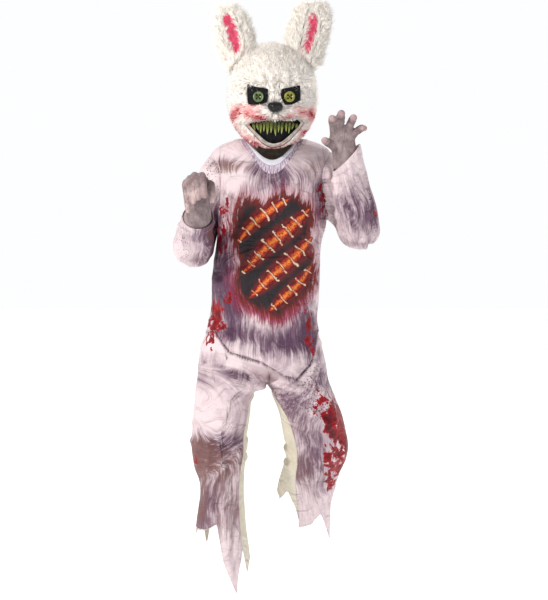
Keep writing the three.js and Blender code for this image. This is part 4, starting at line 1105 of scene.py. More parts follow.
def buildNose():
    bm = bmesh.new()
    bmesh.ops.create_uvsphere(bm, u_segments=48, v_segments=32, radius=1)
    for vert in bm.verts:
        x, y, z = vert.co
        groove = 0.16 * math.exp(-((x / 0.1) ** 2)) * (1 if y < 0 else 0) * max(0.0, 0.6 - z)
        nostril = sum(math.exp(-(((x - side * 0.42) / 0.2) ** 2) - ((z + 0.28) / 0.22) ** 2) for side in (-1, 1))
        deep = 19 if y < 0 else 6
        pull = 1 - groove - 0.3 * nostril * (y < 0)
        wide = nose["wide"] * (1 + 0.12 * z)
        vert.co = Vector((nose["x"] + x * wide, nose["y"] - 12 + y * deep * pull, nose["z"] + z * nose["tall"])) * mm
    return addObject("noseTip", bm)


# Rounded rim laid round the mouth over the mask's front
def buildLip():
    inner = roundOutline(grown(mouth["outline"], 0.8), 8, 0.4)
    outer = roundOutline(grown(mouth["outline"], 10, 3), 8, 0.4)
    rows = []
    for share, rise in mouth["rim"]:
        x, z = (inner + (outer - inner) * share).T
        row = np.stack((x, maskFront(x, z, rise), z), -1)
        row += softNoise(row, 18, 5)[:, None] * np.array((0.5, 0.7, 0.5))
        rows.append(np.concatenate((row, row[:1])))
    lip = gridObject("lipRim", np.stack(rows), True, (4, 0, 42), 1.4)
    smooth = lip.modifiers.new("round", "SUBSURF")
    smooth.levels = smooth.render_levels = 1
    return lip


def buildMouthLining():
    outline = roundOutline(grown(mouth["outline"], 11), 8, 0.4)
    return patchObject("mouthLining", outline, 14, lambda x, z: maskFront(x, z, -12.6)
                       + 1.4 * np.sin(x * 0.35) * np.sin(z * 0.3), 1.5)


# Pointed teeth hanging from a gum line
def buildTeeth():
    chance = np.random.default_rng(8)
    bm = bmesh.new()
    reach = bm.verts.layers.float.new("reach")
    pitch = (teeth["to"] - teeth["from"]) / teeth["count"]
    for index in range(teeth["count"]):
        x = teeth["from"] + pitch * (index + 0.5)
        off = x - teeth["middle"]
        span = teeth["longest"] - 23 * abs(off / 60) ** 1.7 - (index % 2) * 6 + chance.uniform(-2, 2)
        lean = chance.uniform(-3.5, 3.5)
        wide = pitch * chance.uniform(0.48, 0.58)
        top = teeth["top"] - 0.0022 * off**2
        rings = []
        for share in teeth["shares"]:
            z = top - span * share
            size = max(wide * (0.8 + 0.5 * share - 1.28 * share**2.1), 0.35)
            y = float(maskFront(x, z, -5 - 1.5 * (index % 2))) - 1.5 * share
            ring = []
            for step in range(teeth["sides"]):
                turn = 2 * math.pi * step / teeth["sides"]
                ridge = size * (1 - 0.1 * math.cos(turn * 3))
                across, through = ridge * math.cos(turn), 0.72 * ridge * math.sin(turn)
                ring.append(bm.verts.new(((x + lean * share * share + across) * mm, (y + through) * mm, z * mm)))
                ring[-1][reach] = share
            rings.append(ring)
        skinRings(bm, rings)
    bmesh.ops.recalc_face_normals(bm, faces=list(bm.faces))
    return addObject("teethRow", bm)


def buildStrap():
    turns = np.linspace(0.06, math.pi - 0.06, 121)
    heights = np.linspace(108.4, 131.6, 13)[:, None]
    wave = 0.25 * np.sin(turns * 150)[None, :] * np.cos((heights - 120) / 4)
    x = 1 + (100.8 + wave) * np.cos(turns)[None, :]
    y = 46 + (85.8 + wave) * np.sin(turns)[None, :]
    return gridObject("maskStrap", np.stack(np.broadcast_arrays(x, y, heights), -1), False, (1, 46, 120), 1.5)


leftPalm = [(-184.5, -180, -184, 37.6, 35.6, 0), (-182, -195, -172, 33, 30, 0), (-182, -203, -150, 31, 22, 0),
            (-184, -204, -122, 33, 17, 0), (-187, -205, -96, 35, 14, 0), (-189, -207, -84, 31, 9, 0)]
rightPalm = [(189.5, -115.5, -52, 39, 37, 0), (186, -120, -32, 35, 33, 0), (181, -125, -14, 32, 25, 0),
             (177, -129, 2, 32, 19, 0), (174, -132, 18, 33, 16, 0), (172, -135, 34, 27, 12, 0)]
leftFingers = [((-209, -206, -98), (-209, -238, -102), (-203, -250, -167), 9),
               ((-200, -208, -90), (-198, -244, -90), (-189, -258, -146), 9.5),
               ((-188, -209, -84), (-186, -248, -82), (-177, -263, -136), 10),
               ((-171, -208, -84), (-169, -246, -82), (-162, -260, -132), 10),
               ((-158, -198, -112), (-150, -222, -98), (-143, -240, -142), 10)]
rightFingers = [((155, -134, 26), (150, -158, 58), (148, -186, 64), 10.5),
                ((169, -136, 32), (170, -162, 68), (171, -192, 76), 10.5),
                ((184, -134, 26), (197, -160, 58), (202, -188, 66), 10),
                ((193, -131, 12), (216, -152, 38), (230, -176, 38), 9.5),
                ((158, -130, -8), (139, -148, 6), (128, -166, 12), 10.5)]


glove = {"voxel": 2.3, "profile": ((0, 0.25, 0.45, 0.55, 0.8, 0.93, 1), (1.02, 1.0, 1.07, 1.04, 0.94, 0.84, 0.5))}


# Quadratic path through a finger's root, knuckle and tip
def fingerPath(finger, count=26):
    root, bend, tip = [np.array(place, float) for place in finger[:3]]
    t = np.linspace(-0.12, 1, count)[:, None]
    control = 2 * bend - 0.5 * (root + tip)
    curve = (1 - t) ** 2 * root + 2 * t * (1 - t) * control + t**2 * tip
    return curve, t[:, 0]


# Knitted glove: palm and fingers fused, then opened at the wrist
def buildGlove(name, palm, fingers):
    bm = bmesh.new()
    frames = sleeveFrames(palm, 40, (1, 0, 0))
    turns = np.linspace(0, 2 * np.pi, 41)
    gridPart(bm, np.stack([tubePoint(frames, row, turns) for row in range(40)]), True, frames["centre"])
    bmesh.ops.holes_fill(bm, edges=openEdges(bm), sides=400)
    for finger in fingers:
        path, share = fingerPath(finger)
        tubeAlong(bm, [Vector(place) for place in path], finger[3] * np.interp(share, *glove["profile"]), 16)
    hand = addObject(name, bm)
    fuse = hand.modifiers.new("fuse", "REMESH")
    fuse.mode = "VOXEL"
    fuse.voxel_size = glove["voxel"] * mm
    soften = hand.modifiers.new("soften", "SMOOTH")
    soften.iterations = 4
    soften.factor = 0.5
    applyModifiers(hand)
    bm = bmesh.new()
    bm.from_mesh(hand.data)
    start, along = Vector(frames["centre"][0]) * mm, Vector(frames["along"][0])
    gone = [vert for vert in bm.verts if (vert.co - start).dot(along) < 1.2 * mm]
    bmesh.ops.delete(bm, geom=gone, context="VERTS")
    points = np.array([vert.co for vert in bm.verts]) / mm
    normals = np.array([vert.normal for vert in bm.verts])
    tipShare = np.zeros(len(points))
    wrinkle = softNoise(points, 17, 13, (1.5, 1.2, 0.8)) * 0.45
    for finger in fingers:
        path, share = fingerPath(finger, 60)
        away = np.linalg.norm(points[:, None] - path[None], axis=-1)
        near = away.min(axis=1) < finger[3] + 3
        share = share[away.argmin(axis=1)]
        tipShare = np.where(near, np.maximum(tipShare, share), tipShare)
        wrinkle += 0.35 * np.sin(share * 95) * np.exp(-(((share - 0.5) / 0.11) ** 2)) * near
    for vert, place in zip(bm.verts, points + normals * (wrinkle - 0.3)[:, None]):
        vert.co = place * mm
    bm.to_mesh(hand.data)
    bm.free()
    writeField(hand, "tip", tipShare)
    hand.data.shade_smooth()
    addWall(hand, 1.4)
    return hand


# Ribbed band from the neck edge to its seam, in a front and a back half
def buildNeckband():
    bm = bmesh.new()
    middle = (0, 0, -60)
    for turns in (np.linspace(180, 360, 241), np.linspace(180, 0, 241)):
        raw = topColumns(turns, -130)
        starts, ends = crossing(neckValue(raw, 0), 1.0, 0), crossing(neckValue(raw), 0.996, 0)
        kept = np.nonzero(ends - starts > 0.02)[0]
        points = resampleColumns(raw[:, kept], starts[kept], ends[kept], 16)
        down = np.linspace(0, 1, 17)[:, None]
        puff = 1.6 * np.sin(np.clip(down / 0.42, 0, 1) * np.pi) + 0.4
        rib = 0.35 * np.sin(np.arange(points.shape[1]) * 2.2)[None, :] * (down < 0.42)
        points = points + unit(points - middle) * (puff + rib)[..., None]
        turn = np.arctan2(points[..., 0], neck["centreY"] - points[..., 1])
        gridPart(bm, points, False, middle, {"ribTurn": turn, "ribShare": down + turn * 0})
    bmesh.ops.remove_doubles(bm, verts=list(bm.verts), dist=0.0004)
    return addObject("neckRib", bm, 2.0)


def buildWaistband():
    turns = np.linspace(0, 360, 289)
    heights = np.linspace(waist["top"], waist["top"] - waist["height"], 15)[:, None]
    points = ringPoint(hipDense, topFolds, turns[None, :], heights)
    gather = 0.45 * np.sin(np.radians(turns) * 74)[None, :] + 0.25 * np.sin(np.radians(turns) * 41 + 1)[None, :]
    swell = np.sin((heights - waist["top"]) / waist["height"] * np.pi * 3) * 0.5
    outward = unit((points - np.array((-20, 0, 0))) * np.array((1, 1, 0)))
    points = points + outward * (gather + swell - 1.4)[..., None]
    return gridObject("waistband", points, True, (-20, 0, -405), 2.0)


# Links a node's inputs to wires, or sets them
def feed(tree, node, inputs):
    for key, value in inputs.items():
        if isinstance(value, Wire):
            tree.links.new(value.socket, node.inputs[key])
        else:
            node.inputs[key].default_value = value


# A node socket that takes part in Python sums
class Wire:
    def __init__(self, tree, socket):
        self.tree = tree
        self.socket = socket

    # Any node: its settings first, then its input sockets by name or number
    def node(self, kind, settings, inputs, output=0):
        made = self.tree.nodes.new(kind)
        for key, value in settings.items():
            setattr(made, key, value)
        feed(self.tree, made, inputs)
        return Wire(self.tree, made.outputs[output])

    def maths(self, operation, *values):
        return self.node("ShaderNodeMath", {"operation": operation}, dict(enumerate((self, *values))))

    def __add__(self, other):
        return self.maths("ADD", other)

    def __sub__(self, other):
        return self.maths("SUBTRACT", other)

    def __mul__(self, other):
        return self.maths("MULTIPLY", other)

    def __truediv__(self, other):
        return self.maths("DIVIDE", other)

    def __rsub__(self, other):
        return self.node("ShaderNodeMath", {"operation": "SUBTRACT"}, {0: other, 1: self})

    __radd__ = __add__
    __rmul__ = __mul__

    # 0 below low, 1 above high and smooth between; a falling ramp has low above high
    def ease(self, low, high):
        ends = (1.0, 0.0) if low > high else (0.0, 1.0)
        inputs = {"Value": self, "From Min": min(low, high), "From Max": max(low, high),
                  "To Min": ends[0], "To Max": ends[1]}
        return self.node("ShaderNodeMapRange", {"interpolation_type": "SMOOTHSTEP"}, inputs)

    # Away from zero both ways
    def size(self):
        return self.maths("ABSOLUTE")

    # A wave between 0 and 1
    def wave(self):
        return self.maths("SINE") * 0.5 + 0.5

    # Colour between two others
    def blend(self, base, top):
        base, top = [value if isinstance(value, Wire) else (*value, 1) for value in (base, top)]
        return self.node("ShaderNodeMix", {"data_type": "RGBA"}, {0: self, 6: base, 7: top}, 2)

    def scaled(self, x, y, z):
        return self.node("ShaderNodeVectorMath", {"operation": "MULTIPLY"}, {0: self, 1: (x, y, z)})

    def noise(self, scale, detail=3.0, rough=0.55, bend=0.0):
        inputs = {"Vector": self, "Scale": scale, "Detail": detail, "Roughness": rough, "Distortion": bend}
        return self.node("ShaderNodeTexNoise", {}, inputs)

    def cells(self, scale):
        return self.node("ShaderNodeTexVoronoi", {"feature": "F1"}, {"Vector": self, "Scale": scale}, "Distance")


# A new material with its object, cloth-map and attribute sources at hand
class Paint:
    def __init__(self, name):
        self.material = bpy.data.materials.new(name)
        self.material.use_nodes = True
        self.tree = self.material.node_tree
        source = self.tree.nodes.new("ShaderNodeTexCoord")
        self.place, cloth = [Wire(self.tree, source.outputs[name]) for name in ("Object", "UV")]
        self.x, self.y, self.z = [self.place.node("ShaderNodeSeparateXYZ", {}, {0: self.place}, axis)
                                  for axis in range(3)]
        self.u, self.v = [self.place.node("ShaderNodeSeparateXYZ", {}, {0: cloth}, axis) for axis in range(2)]
        self.noise, self.cells, self.scaled = self.place.noise, self.place.cells, self.place.scaled

    def field(self, name, output="Fac"):
        return self.place.node("ShaderNodeAttribute", {"attribute_name": name}, {}, output)

    def joined(self, x, y, z=0.0):
        return self.place.node("ShaderNodeCombineXYZ", {}, {0: x, 1: y, 2: z})

    def finish(self, colour, rough, height, depth, coat=0.0, shine=0.2):
        bump = self.place.node("ShaderNodeBump", {}, {"Height": height, "Strength": 1.0, "Distance": depth})
        feed(self.tree, self.tree.nodes["Principled BSDF"], {
            "Specular IOR Level": shine, "Base Color": colour, "Roughness": rough, "Coat Weight": coat, "Normal": bump})
        return self.material


# Fine knit with small slubs, as a height between 0 and 1
def knitHeight(paint):
    turn = 2 * math.pi / cloth["knit"]
    slub = paint.joined(paint.u * 900, paint.v * 160).noise(1.0, 2.0)
    return (paint.u * turn).maths("SINE") * (paint.v * (turn * 0.8)).maths("SINE") * 0.25 + slub * 0.5 + 0.25


# Small sharp folds between the larger creases
def foldHeight(paint):
    bent = paint.scaled(1.0, 1.0, 1.5)
    wide = (bent.noise(8.5, 2.0, 0.45, 0.9) - 0.5).size().ease(0.075, 0.0)
    small = (bent.noise(21.0, 2.0, 0.45, 0.6) - 0.5).size().ease(0.09, 0.0)
    return wide * 0.7 + small * 0.25 + paint.noise(26.0, 3.0, 0.5) * 0.5


inks = {"light": (0.8, 0.655, 0.675), "shade": (0.2, 0.12, 0.165), "deep": (0.085, 0.038, 0.075),
        "brown": (0.2, 0.095, 0.085), "speck": (0.1, 0.04, 0.075), "blood": (0.36, 0.004, 0.01),
        "clot": (0.11, 0.002, 0.006)}


# Printed fur strokes and blood over pale polyester, with print tone and painted shade from a vertex field
def printPaint(name, bloodLevel, speckle, design=False):
    paint = Paint(name)
    flowU, flowV, warp = paint.field("flowU"), paint.field("flowV"), paint.noise(9.0, 2.0)
    fine = paint.joined(flowU * 260 + warp * 6, flowV * 19).noise(1.0, 5.0, 0.68, 0.25).ease(0.28, 0.72)
    wide = paint.joined(flowU * 60 + warp * 5, flowV * 11).noise(1.0, 4.0, 0.62, 0.5).ease(0.28, 0.72)
    cloud = paint.noise(9.0, 4.0, 0.6).ease(0.34, 0.66)
    printToneAndShade, stain = paint.field("printToneAndShade"), paint.field("blood")
    marks = fine * 0.5 + wide * 0.5
    # Print tone and painted shade deepen the strokes and the dark ink
    tone = (marks * (0.34 + printToneAndShade * 0.75) + printToneAndShade * 0.42 + cloud * 0.3).ease(0.22, 1.05)
    colour = tone.blend(inks["light"], inks["shade"])
    strokes = (marks * (0.3 + printToneAndShade * 0.8) + printToneAndShade * 0.3 + cloud * 0.14).ease(0.6, 1.1)
    colour = (strokes * 0.9).blend(colour, inks["deep"])
    # Brown print, partly painted shade on the left sleeve's underside
    brownPrintAndShade = (paint.field("brownPrintAndShade") * (wide * 0.6 + fine * 0.5 + 0.25)).ease(0.25, 0.85)
    colour = (brownPrintAndShade * 0.85).blend(colour, inks["brown"])
    size = paint.noise(24.0, 2.0) * 0.5 + paint.field("speck") * 0.42
    spots = (size - paint.cells(150.0)).ease(0.2, 0.24)
    colour = (spots * speckle).blend(colour, inks["speck"])
    if design:
        colour = chestDesign(paint, colour, fine, wide)
    ragged = paint.noise(46.0, 5.0, 0.72)
    dots = (0.34 + (ragged - 0.5) * 0.8 - paint.cells(82.0)) * (stain * 1.6 + 0.1)
    blood = (stain * 1.3 + (ragged - 0.5) * 1.9).maths("MAXIMUM", dots * 3.0 + 0.12)
    wet = (blood * 0.6 + ragged * 0.7).ease(0.55, 1.05).blend(inks["blood"], inks["clot"])
    edge = blood.ease(bloodLevel - 0.02, bloodLevel + 0.03)
    rough = 0.5 - edge * 0.12 + (fine - 0.5) * 0.08
    return paint.finish(edge.blend(colour, wet), rough, knitHeight(paint) * 0.1 + foldHeight(paint), 0.0045)


# Ragged dark opening with stitched claw gashes
def chestDesign(paint, colour, fine, wide):
    inside = paint.field("panel") + (fine - 0.5) * 0.022 + (wide - 0.5) * 0.02
    fringe = inside.ease(-0.03, -0.004)
    crimson = (fine * 0.6 + wide * 0.4).blend((0.42, 0.035, 0.085), (0.09, 0.012, 0.04))
    colour = (fringe * (0.45 + paint.field("low") * 0.5)).blend(colour, crimson)
    dark = (paint.noise(30.0, 4.0) * 0.7 + fine * 0.3).blend((0.009, 0.007, 0.009), (0.035, 0.026, 0.03))
    panel = inside.ease(-0.002, 0.009)
    rust = (wide * 0.7 + fine * 0.4).blend((0.05, 0.006, 0.01), (0.36, 0.03, 0.02))
    colour = panel.blend(colour, dark)
    colour = (inside.ease(0.03, 0.004) * panel * 0.75).blend(colour, rust)
    mottle = paint.noise(95.0, 4.0, 0.65).ease(0.3, 0.7)
    grain = paint.noise(210.0, 4.0, 0.7).ease(0.32, 0.68)
    away = paint.field("gashAway") + (mottle - 0.5) * 0.5 + (grain - 0.5) * 0.3
    flesh = (away.ease(0.95, 0.3) * 0.7 + grain * 0.3).blend((0.16, 0.008, 0.012), (0.68, 0.07, 0.015))
    flesh = (away.ease(0.6, 0.0) * (0.45 + mottle * 0.55)).blend(flesh, (0.9, 0.34, 0.06))
    flesh = (grain.ease(0.72, 0.9) * 0.8).blend(flesh, (0.12, 0.01, 0.01))
    halo = (away.ease(2.6, 1.0) * (mottle * 0.7 + 0.25)) * panel
    colour = halo.blend(colour, (0.26, 0.012, 0.012))
    colour = away.ease(1.35, 1.05).blend(colour, (0.07, 0.006, 0.012))
    colour = away.ease(1.02, 0.9).blend(colour, flesh)
    sway = (paint.noise(21.0, 2.0) - 0.5) * 0.045
    step = ((paint.field("gashAlong") + sway * 0.4) / 0.031).maths("FRACT")
    bars = (step - 0.5).size() * 0.031 + (grain - 0.5) * 0.0012
    across = paint.field("gashAway") + (paint.noise(34.0, 2.0) - 0.5) * 1.6
    bone = bars.ease(0.0029, 0.0021) * across.ease(1.8, 1.65)
    shade = bars.ease(0.0046, 0.0028) * across.ease(1.95, 1.75)
    colour = (shade * 0.85).blend(colour, (0.03, 0.008, 0.01))
    ivory = bars.ease(0.0022, 0.0006).blend((0.34, 0.13, 0.06), (0.72, 0.56, 0.42))
    ivory = (mottle.ease(0.5, 0.8) * 0.85).blend(ivory, (0.6, 0.1, 0.03))
    return bone.blend(colour, ivory)


# Plain cream polyester of the back panels
def plainPaint():
    paint = Paint("plainCloth")
    cloud = paint.noise(7.0, 4.0, 0.6)
    colour = cloud.ease(0.35, 0.75).blend((0.76, 0.7, 0.58), (0.64, 0.57, 0.45))
    # Darker soil patches, deepened where the print tone and painted shade field is high
    soil = (paint.noise(3.2, 3.0) + paint.field("printToneAndShade") * 0.35).ease(0.68, 0.95)
    colour = (soil * 0.4).blend(colour, (0.55, 0.45, 0.36))
    height = knitHeight(paint) * 0.1 + foldHeight(paint)
    return paint.finish(colour, 0.5 + (cloud - 0.5) * 0.15, height, 0.0045)


# Soft patches of print tone with painted shade in folds and on the sleeve's inner side, seen from the front: x, z, half
# width, half height, amount
printToneAndShadePatches = [
    (20, -70, 70, 34, 0.75), (-42, -58, 34, 22, 0.5), (-5, -104, 74, 26, 0.55), (-125, -44, 50, 16, 0.5),
    (94, -86, 30, 40, 0.3), (-109, -86, 45, 35, -0.6), (-135, -216, 26, 130, 0.65), (-146, -340, 26, 70, 0.7),
    (122, -164, 16, 90, 0.55), (94, -455, 34, 70, 0.7), (99, -538, 30, 30, 0.4), (-94, -424, 50, 50, 0.5),
    (-109, -478, 32, 18, 0.9), (47, -611, 70, 30, 0.45), (-57, -575, 60, 20, 0.5), (-172, -559, 30, 40, 0.3),
    (52, -658, 60, 50, 0.5), (99, -772, 70, 90, 0.55), (94, -845, 50, 50, 0.25), (-177, -772, 60, 36, 0.8),
    (-135, -845, 70, 130, 0.4), (-182, -918, 30, 90, 0.8), (-146, -658, 50, 50, -0.2), (-187, -606, 30, 20, 0.5),
    (-60, -480, 60, 40, 0.4), (60, -470, 60, 60, 0.45), (150, -600, 40, 40, 0.4), (-110, -300, 30, 120, 0.5),
    (-110, -745, 40, 26, 0.4), (-100, -1010, 40, 70, 0.1), (60, -940, 60, 60, 0.15), (-100, -700, 60, 120, 0.2),
    (120, -900, 60, 90, 0.25), (-187, -289, 40, 20, 0.3),
    (-150, -216, 16, 50, 0.7), (177, -138, 36, 50, 0.35), (258, -170, 16, 90, 0.4), (190, -250, 60, 16, 0.3),
    (0, -516, 90, 26, 0.42), (-20, -480, 60, 20, 0.2), (40, -492, 60, 16, 0.35),
    (225, -170, 50, 70, 0.75), (-182, -230, 36, 60, 0.4), (-80, -566, 60, 40, 0.3), (130, -596, 50, 36, 0.3),
    (-100, -370, 28, 70, 0.7), (60, -600, 16, 8, 0.3), (70, -500, 50, 20, 0.3),
]
# Brown print patches, some of them painted shade under and inside the left sleeve: x, z, half width, half height,
# amount
brownPrintAndShadePatches = [
    (-112, -52, 62, 24, 0.95), (104, -46, 30, 26, 0.6), (-180, -772, 44, 34, 1.0), (-190, -860, 26, 110, 1.0),
    (-150, -800, 60, 50, 0.5),
    (-153, -216, 16, 60, 0.8), (96, -92, 30, 40, 0.4), (-120, -560, 70, 30, 0.3), (-187, -290, 50, 20, 0.5),
    (60, -640, 60, 30, 0.3), (-100, -930, 90, 120, 0.62), (90, -840, 90, 110, 0.56), (40, -700, 60, 50, 0.4),
    (-60, -800, 60, 90, 0.5), (-160, -650, 40, 40, 0.4), (80, -560, 60, 40, 0.3),
]
bloodLines = [
    (-146, -408, -151, -462, 13, 0.72), (-151, -470, -162, -508, 9, 0.62), (-132, -448, -118, -462, 8, 0.5),
    (122, -107, 128, -124, 9, 0.6), (131, -136, 134, -170, 8, 0.48), (-122, -214, -126, -236, 10, 0.5),
    (88, -424, 96, -456, 8, 0.5), (99, -603, 102, -606, 4, 0.64), (120, -621, 122, -624, 4.5, 0.66),
    (140, -638, 143, -644, 5, 0.66), (151, -656, 156, -668, 7, 0.64), (143, -684, 146, -728, 12, 1.0),
    (177, -676, 180, -740, 15, 0.55), (155, -690, 172, -745, 16, 0.55), (158, -738, 198, -772, 12, 0.85),
    (148, -775, 200, -806, 9, 0.75), (138, -800, 178, -860, 10, 0.75), (146, -820, 151, -900, 4.5, 0.78),
    (172, -842, 190, -822, 13, 0.7), (194, -735, 204, -815, 13, 0.7), (104, -668, 134, -694, 12, 0.4),
    (160, -790, 186, -850, 22, 0.42), (120, -640, 180, -700, 26, 0.36), (150, -860, 166, -905, 12, 0.4),
    (96, -470, 100, -520, 14, 0.42), (-136, -420, -146, -470, 22, 0.5), (-120, -150, -130, -260, 18, 0.36),
    (259, -118, 262, -126, 4, 0.8), (262, -138, 264, -142, 4, 0.7), (263, -160, 264, -178, 4, 0.5),
    (-196, -760, -200, -800, 9, 0.34), (-190, -850, -194, -900, 9, 0.34), (-104, -376, -110, -392, 7, 0.6),
]
speckPatches = [
    (-140, -100, 20, 60, 0.5), (-226, -250, 26, 60, 0.5), (-170, -60, 20, 40, 0.5), (258, -170, 22, 90, 0.9),
    (230, -90, 30, 40, 0.3), (128, -140, 16, 60, 1.0), (110, -668, 60, 30, 0.9), (170, -700, 30, 60, 1.0),
    (-150, -300, 20, 120, 0.7), (-20, -500, 60, 30, 0.5), (90, -500, 30, 60, 0.6), (110, -600, 50, 40, 0.6),
]
chestPanel = [
    (-70, -122), (-22, -136), (36, -110), (92, -138), (110, -190), (96, -250), (114, -310), (102, -372), (62, -408),
    (20, -440), (-36, -424), (-84, -392), (-104, -340), (-88, -290), (-110, -230), (-98, -160),
]
# Claw gashes: points as x and z, then the widest half width
clawGashes = [
    ([(46, -132), (0, -160), (-48, -196), (-86, -246)], 10), ([(94, -160), (48, -206), (-14, -256), (-74, -322)], 13),
    ([(102, -232), (62, -276), (4, -326), (-56, -384)], 12.5), ([(100, -306), (74, -342), (34, -380), (-8, -418)], 9.5),
]


def patchSum(x, z, patches):
    total = np.zeros(x.shape)
    for middleX, middleZ, wide, tall, amount in patches:
        total += amount * np.exp(-(((x - middleX) / wide) ** 2) - ((z - middleZ) / tall) ** 2)
    return total


# Distance to the nearest gash in half widths, and the way along it
def gashFields(x, z):
    away = np.full(x.shape, 9.0)
    along = np.zeros(x.shape)
    for marks, widest in clawGashes:
        path = smoothRows(marks, 60)
        reach = np.hypot(x[:, None] - path[:, 0], z[:, None] - path[:, 1])
        best = reach.argmin(axis=1)
        half = widest * np.maximum(np.sin(best / 59 * np.pi), 0.02) ** 0.6 + 1.0
        value = reach.min(axis=1) / half
        along = np.where(value < away, pathSteps(path)[best] * mm, along)
        away = np.minimum(away, value)
    return away, along


def writeField(holder, name, values, domain="POINT"):
    field = holder.data.attributes.new(name, "FLOAT", domain)
    field.data.foreach_set("value", np.asarray(values, np.float32).ravel())


# One stored value of every vertex, loop or map point, as rows
def meshValues(items, value, width, kind=np.float32):
    flat = np.zeros(len(items) * width, kind)
    items.foreach_get(value, flat)
    return flat.reshape(-1, width)


def meshPoints(holder):
    return meshValues(holder.data.vertices, "co", 3).astype(float) / mm


# Stroke directions: down the body, turned round the collar and below the knees.
# Each turn: x, z, reach, fade, strength, spread of the strokes, lowest and highest z
flowTurns = [(0, 8, 150, 70, 1, 95, -160, 999), (-196, -690, 150, 90, 0.85, 90, -9999, -560),
             (40, -560, 120, 90, 0.85, 90, -9999, -560)]


def strokeFlow(x, z):
    wave = 9 * np.sin(z / 67.0 + x / 90) + 3 * np.sin(z / 29.0 + 1.3)
    u, v = x + wave, -z + 12 * np.sin(x / 38.0)
    for middleX, middleZ, size, fade, strength, spread, low, high in flowTurns:
        reach = np.hypot(x - middleX, z - middleZ)
        turn = np.arctan2(x - middleX, middleZ - z)
        share = strength * smoothStep((size - reach) / fade) * (z > low) * (z < high)
        u = u * (1 - share) + turn * spread * share
        v = v * (1 - share) + reach * share
    return u * mm, v * mm


# Attributes that the printed cloth reads: stroke map, print tone with painted shade, brown print with some painted
# shade, blood and specks
def writeClothFields(holder, useMap, shadowingHem=None):
    mesh = holder.data
    points = meshPoints(holder)
    x, z = points[:, 0], points[:, 2]
    if useMap:
        u, v = meshValues(mesh.uv_layers[0].data, "uv", 2).T
        u, v = u + 0.012 * np.sin(v * 24), v + 0.01 * np.sin(u * 30)
    else:
        corners = meshValues(mesh.loops, "vertex_index", 1, np.int32)[:, 0]
        u, v = [value[corners] for value in strokeFlow(x, z)]
    writeField(holder, "flowU", u, "CORNER")
    writeField(holder, "flowV", v, "CORNER")
    printToneAndShade = patchSum(x, z, printToneAndShadePatches)
    if shadowingHem:
        # Painted shadow just under the top's hem on the trousers, with a paler band below it
        gap = hemAt(shadowingHem, x) - z
        printToneAndShade += 0.95 * np.exp(-(gap / 8) ** 2) - 0.55 * np.exp(-((gap - 26) / 20) ** 2)
    front = smoothStep((0.3 - meshValues(mesh.vertices, "normal", 3)[:, 1]) / 0.55)
    blood = stainAt(x + softNoise(points, 24, 91) * 8, z + softNoise(points, 24, 92) * 12, bloodLines) * front
    for name, values in (("printToneAndShade", printToneAndShade), ("brownPrintAndShade", patchSum(x, z, brownPrintAndShadePatches)), ("blood", blood),
                         ("speck", patchSum(x, z, speckPatches))):
        writeField(holder, name, values)


def writeChestFields(holder):
    x, y, z = meshPoints(holder).T
    away, along = gashFields(x, z)
    writeField(holder, "panel", -outlineDistance(roundOutline(chestPanel, 4, 0.3), x, z) * mm)
    writeField(holder, "gashAway", away)
    writeField(holder, "gashAlong", along)
    writeField(holder, "low", smoothStep((-330 - z) / 90))


# Pile colour from the strand's own tint, with painted shade at the root and a painted lift towards the tip
def furPaint(name):
    paint = Paint(name)
    tint = paint.field("tint", "Color")
    height = paint.field("tint", "Alpha")
    mottle = paint.noise(160.0, 3.0)
    shade = 1.04 + height * 0.36 + (mottle - 0.5) * 0.2
    colour = tint.node("ShaderNodeVectorMath", {"operation": "SCALE"}, {0: tint, "Scale": shade})
    return paint.finish(colour, 0.86, mottle, 0.0003)


# Backing under the pile: streaked in the pile's colours
def backingPaint(name, light, dark):
    paint = Paint(name)
    streak = paint.scaled(1, 1, 0.35).noise(240.0, 4.0, 0.7)
    soft = paint.noise(32.0, 3.0)
    colour = (streak * 0.8 + soft * 0.4).ease(0.35, 0.85).blend(dark, light)
    return paint.finish(colour, 0.9, streak, 0.002)


def feltPaint():
    paint = Paint("blackFelt")
    fuzz = paint.noise(420.0, 3.0, 0.7)
    mesh = paint.cells(520.0)
    colour = (fuzz * 0.6 + mesh * 0.5).ease(0.3, 0.9).blend((0.004, 0.004, 0.005), (0.03, 0.028, 0.03))
    return paint.finish(colour, 0.95, mesh + fuzz * 0.5, 0.0006, 0.0, 0.04)


def buttonPaint(name, light, dark):
    paint = Paint(name)
    swirl = paint.noise(60.0, 4.0, 0.6, 1.4)
    scratch = paint.scaled(1, 1, 0.12).noise(900.0, 2.0)
    colour = swirl.ease(0.35, 0.68).blend(dark, light)
    colour = (scratch.ease(0.66, 0.74) * 0.4).blend(colour, (0.5, 0.5, 0.36))
    rough = 0.22 + scratch * 0.22
    return paint.finish(colour, rough, swirl * 0.6 + scratch * 0.4, 0.0002, 0.25, 0.5)


def nosePaint():
    paint = Paint("nosePlastic")
    pits = paint.noise(260.0, 4.0, 0.65)
    wear = paint.noise(48.0, 3.0)
    colour = wear.ease(0.5, 0.8).blend((0.002, 0.002, 0.002), (0.014, 0.013, 0.015))
    return paint.finish(colour, 0.14 + wear * 0.2, pits + wear * 1.4, 0.0012, 0.2, 0.25)


def rubberPaint():
    paint = Paint("lipRubber")
    mottle = paint.noise(85.0, 4.0, 0.65)
    pores = paint.cells(420.0)
    colour = mottle.ease(0.35, 0.7).blend((0.3, 0.26, 0.23), (0.62, 0.56, 0.5))
    stain = (paint.noise(38.0, 3.0) + paint.noise(140.0, 2.0) * 0.3).ease(0.66, 0.8)
    colour = (stain * 0.7).blend(colour, (0.42, 0.1, 0.1))
    return paint.finish(colour, 0.48, pores * 0.4 + mottle, 0.0006, 0.1)


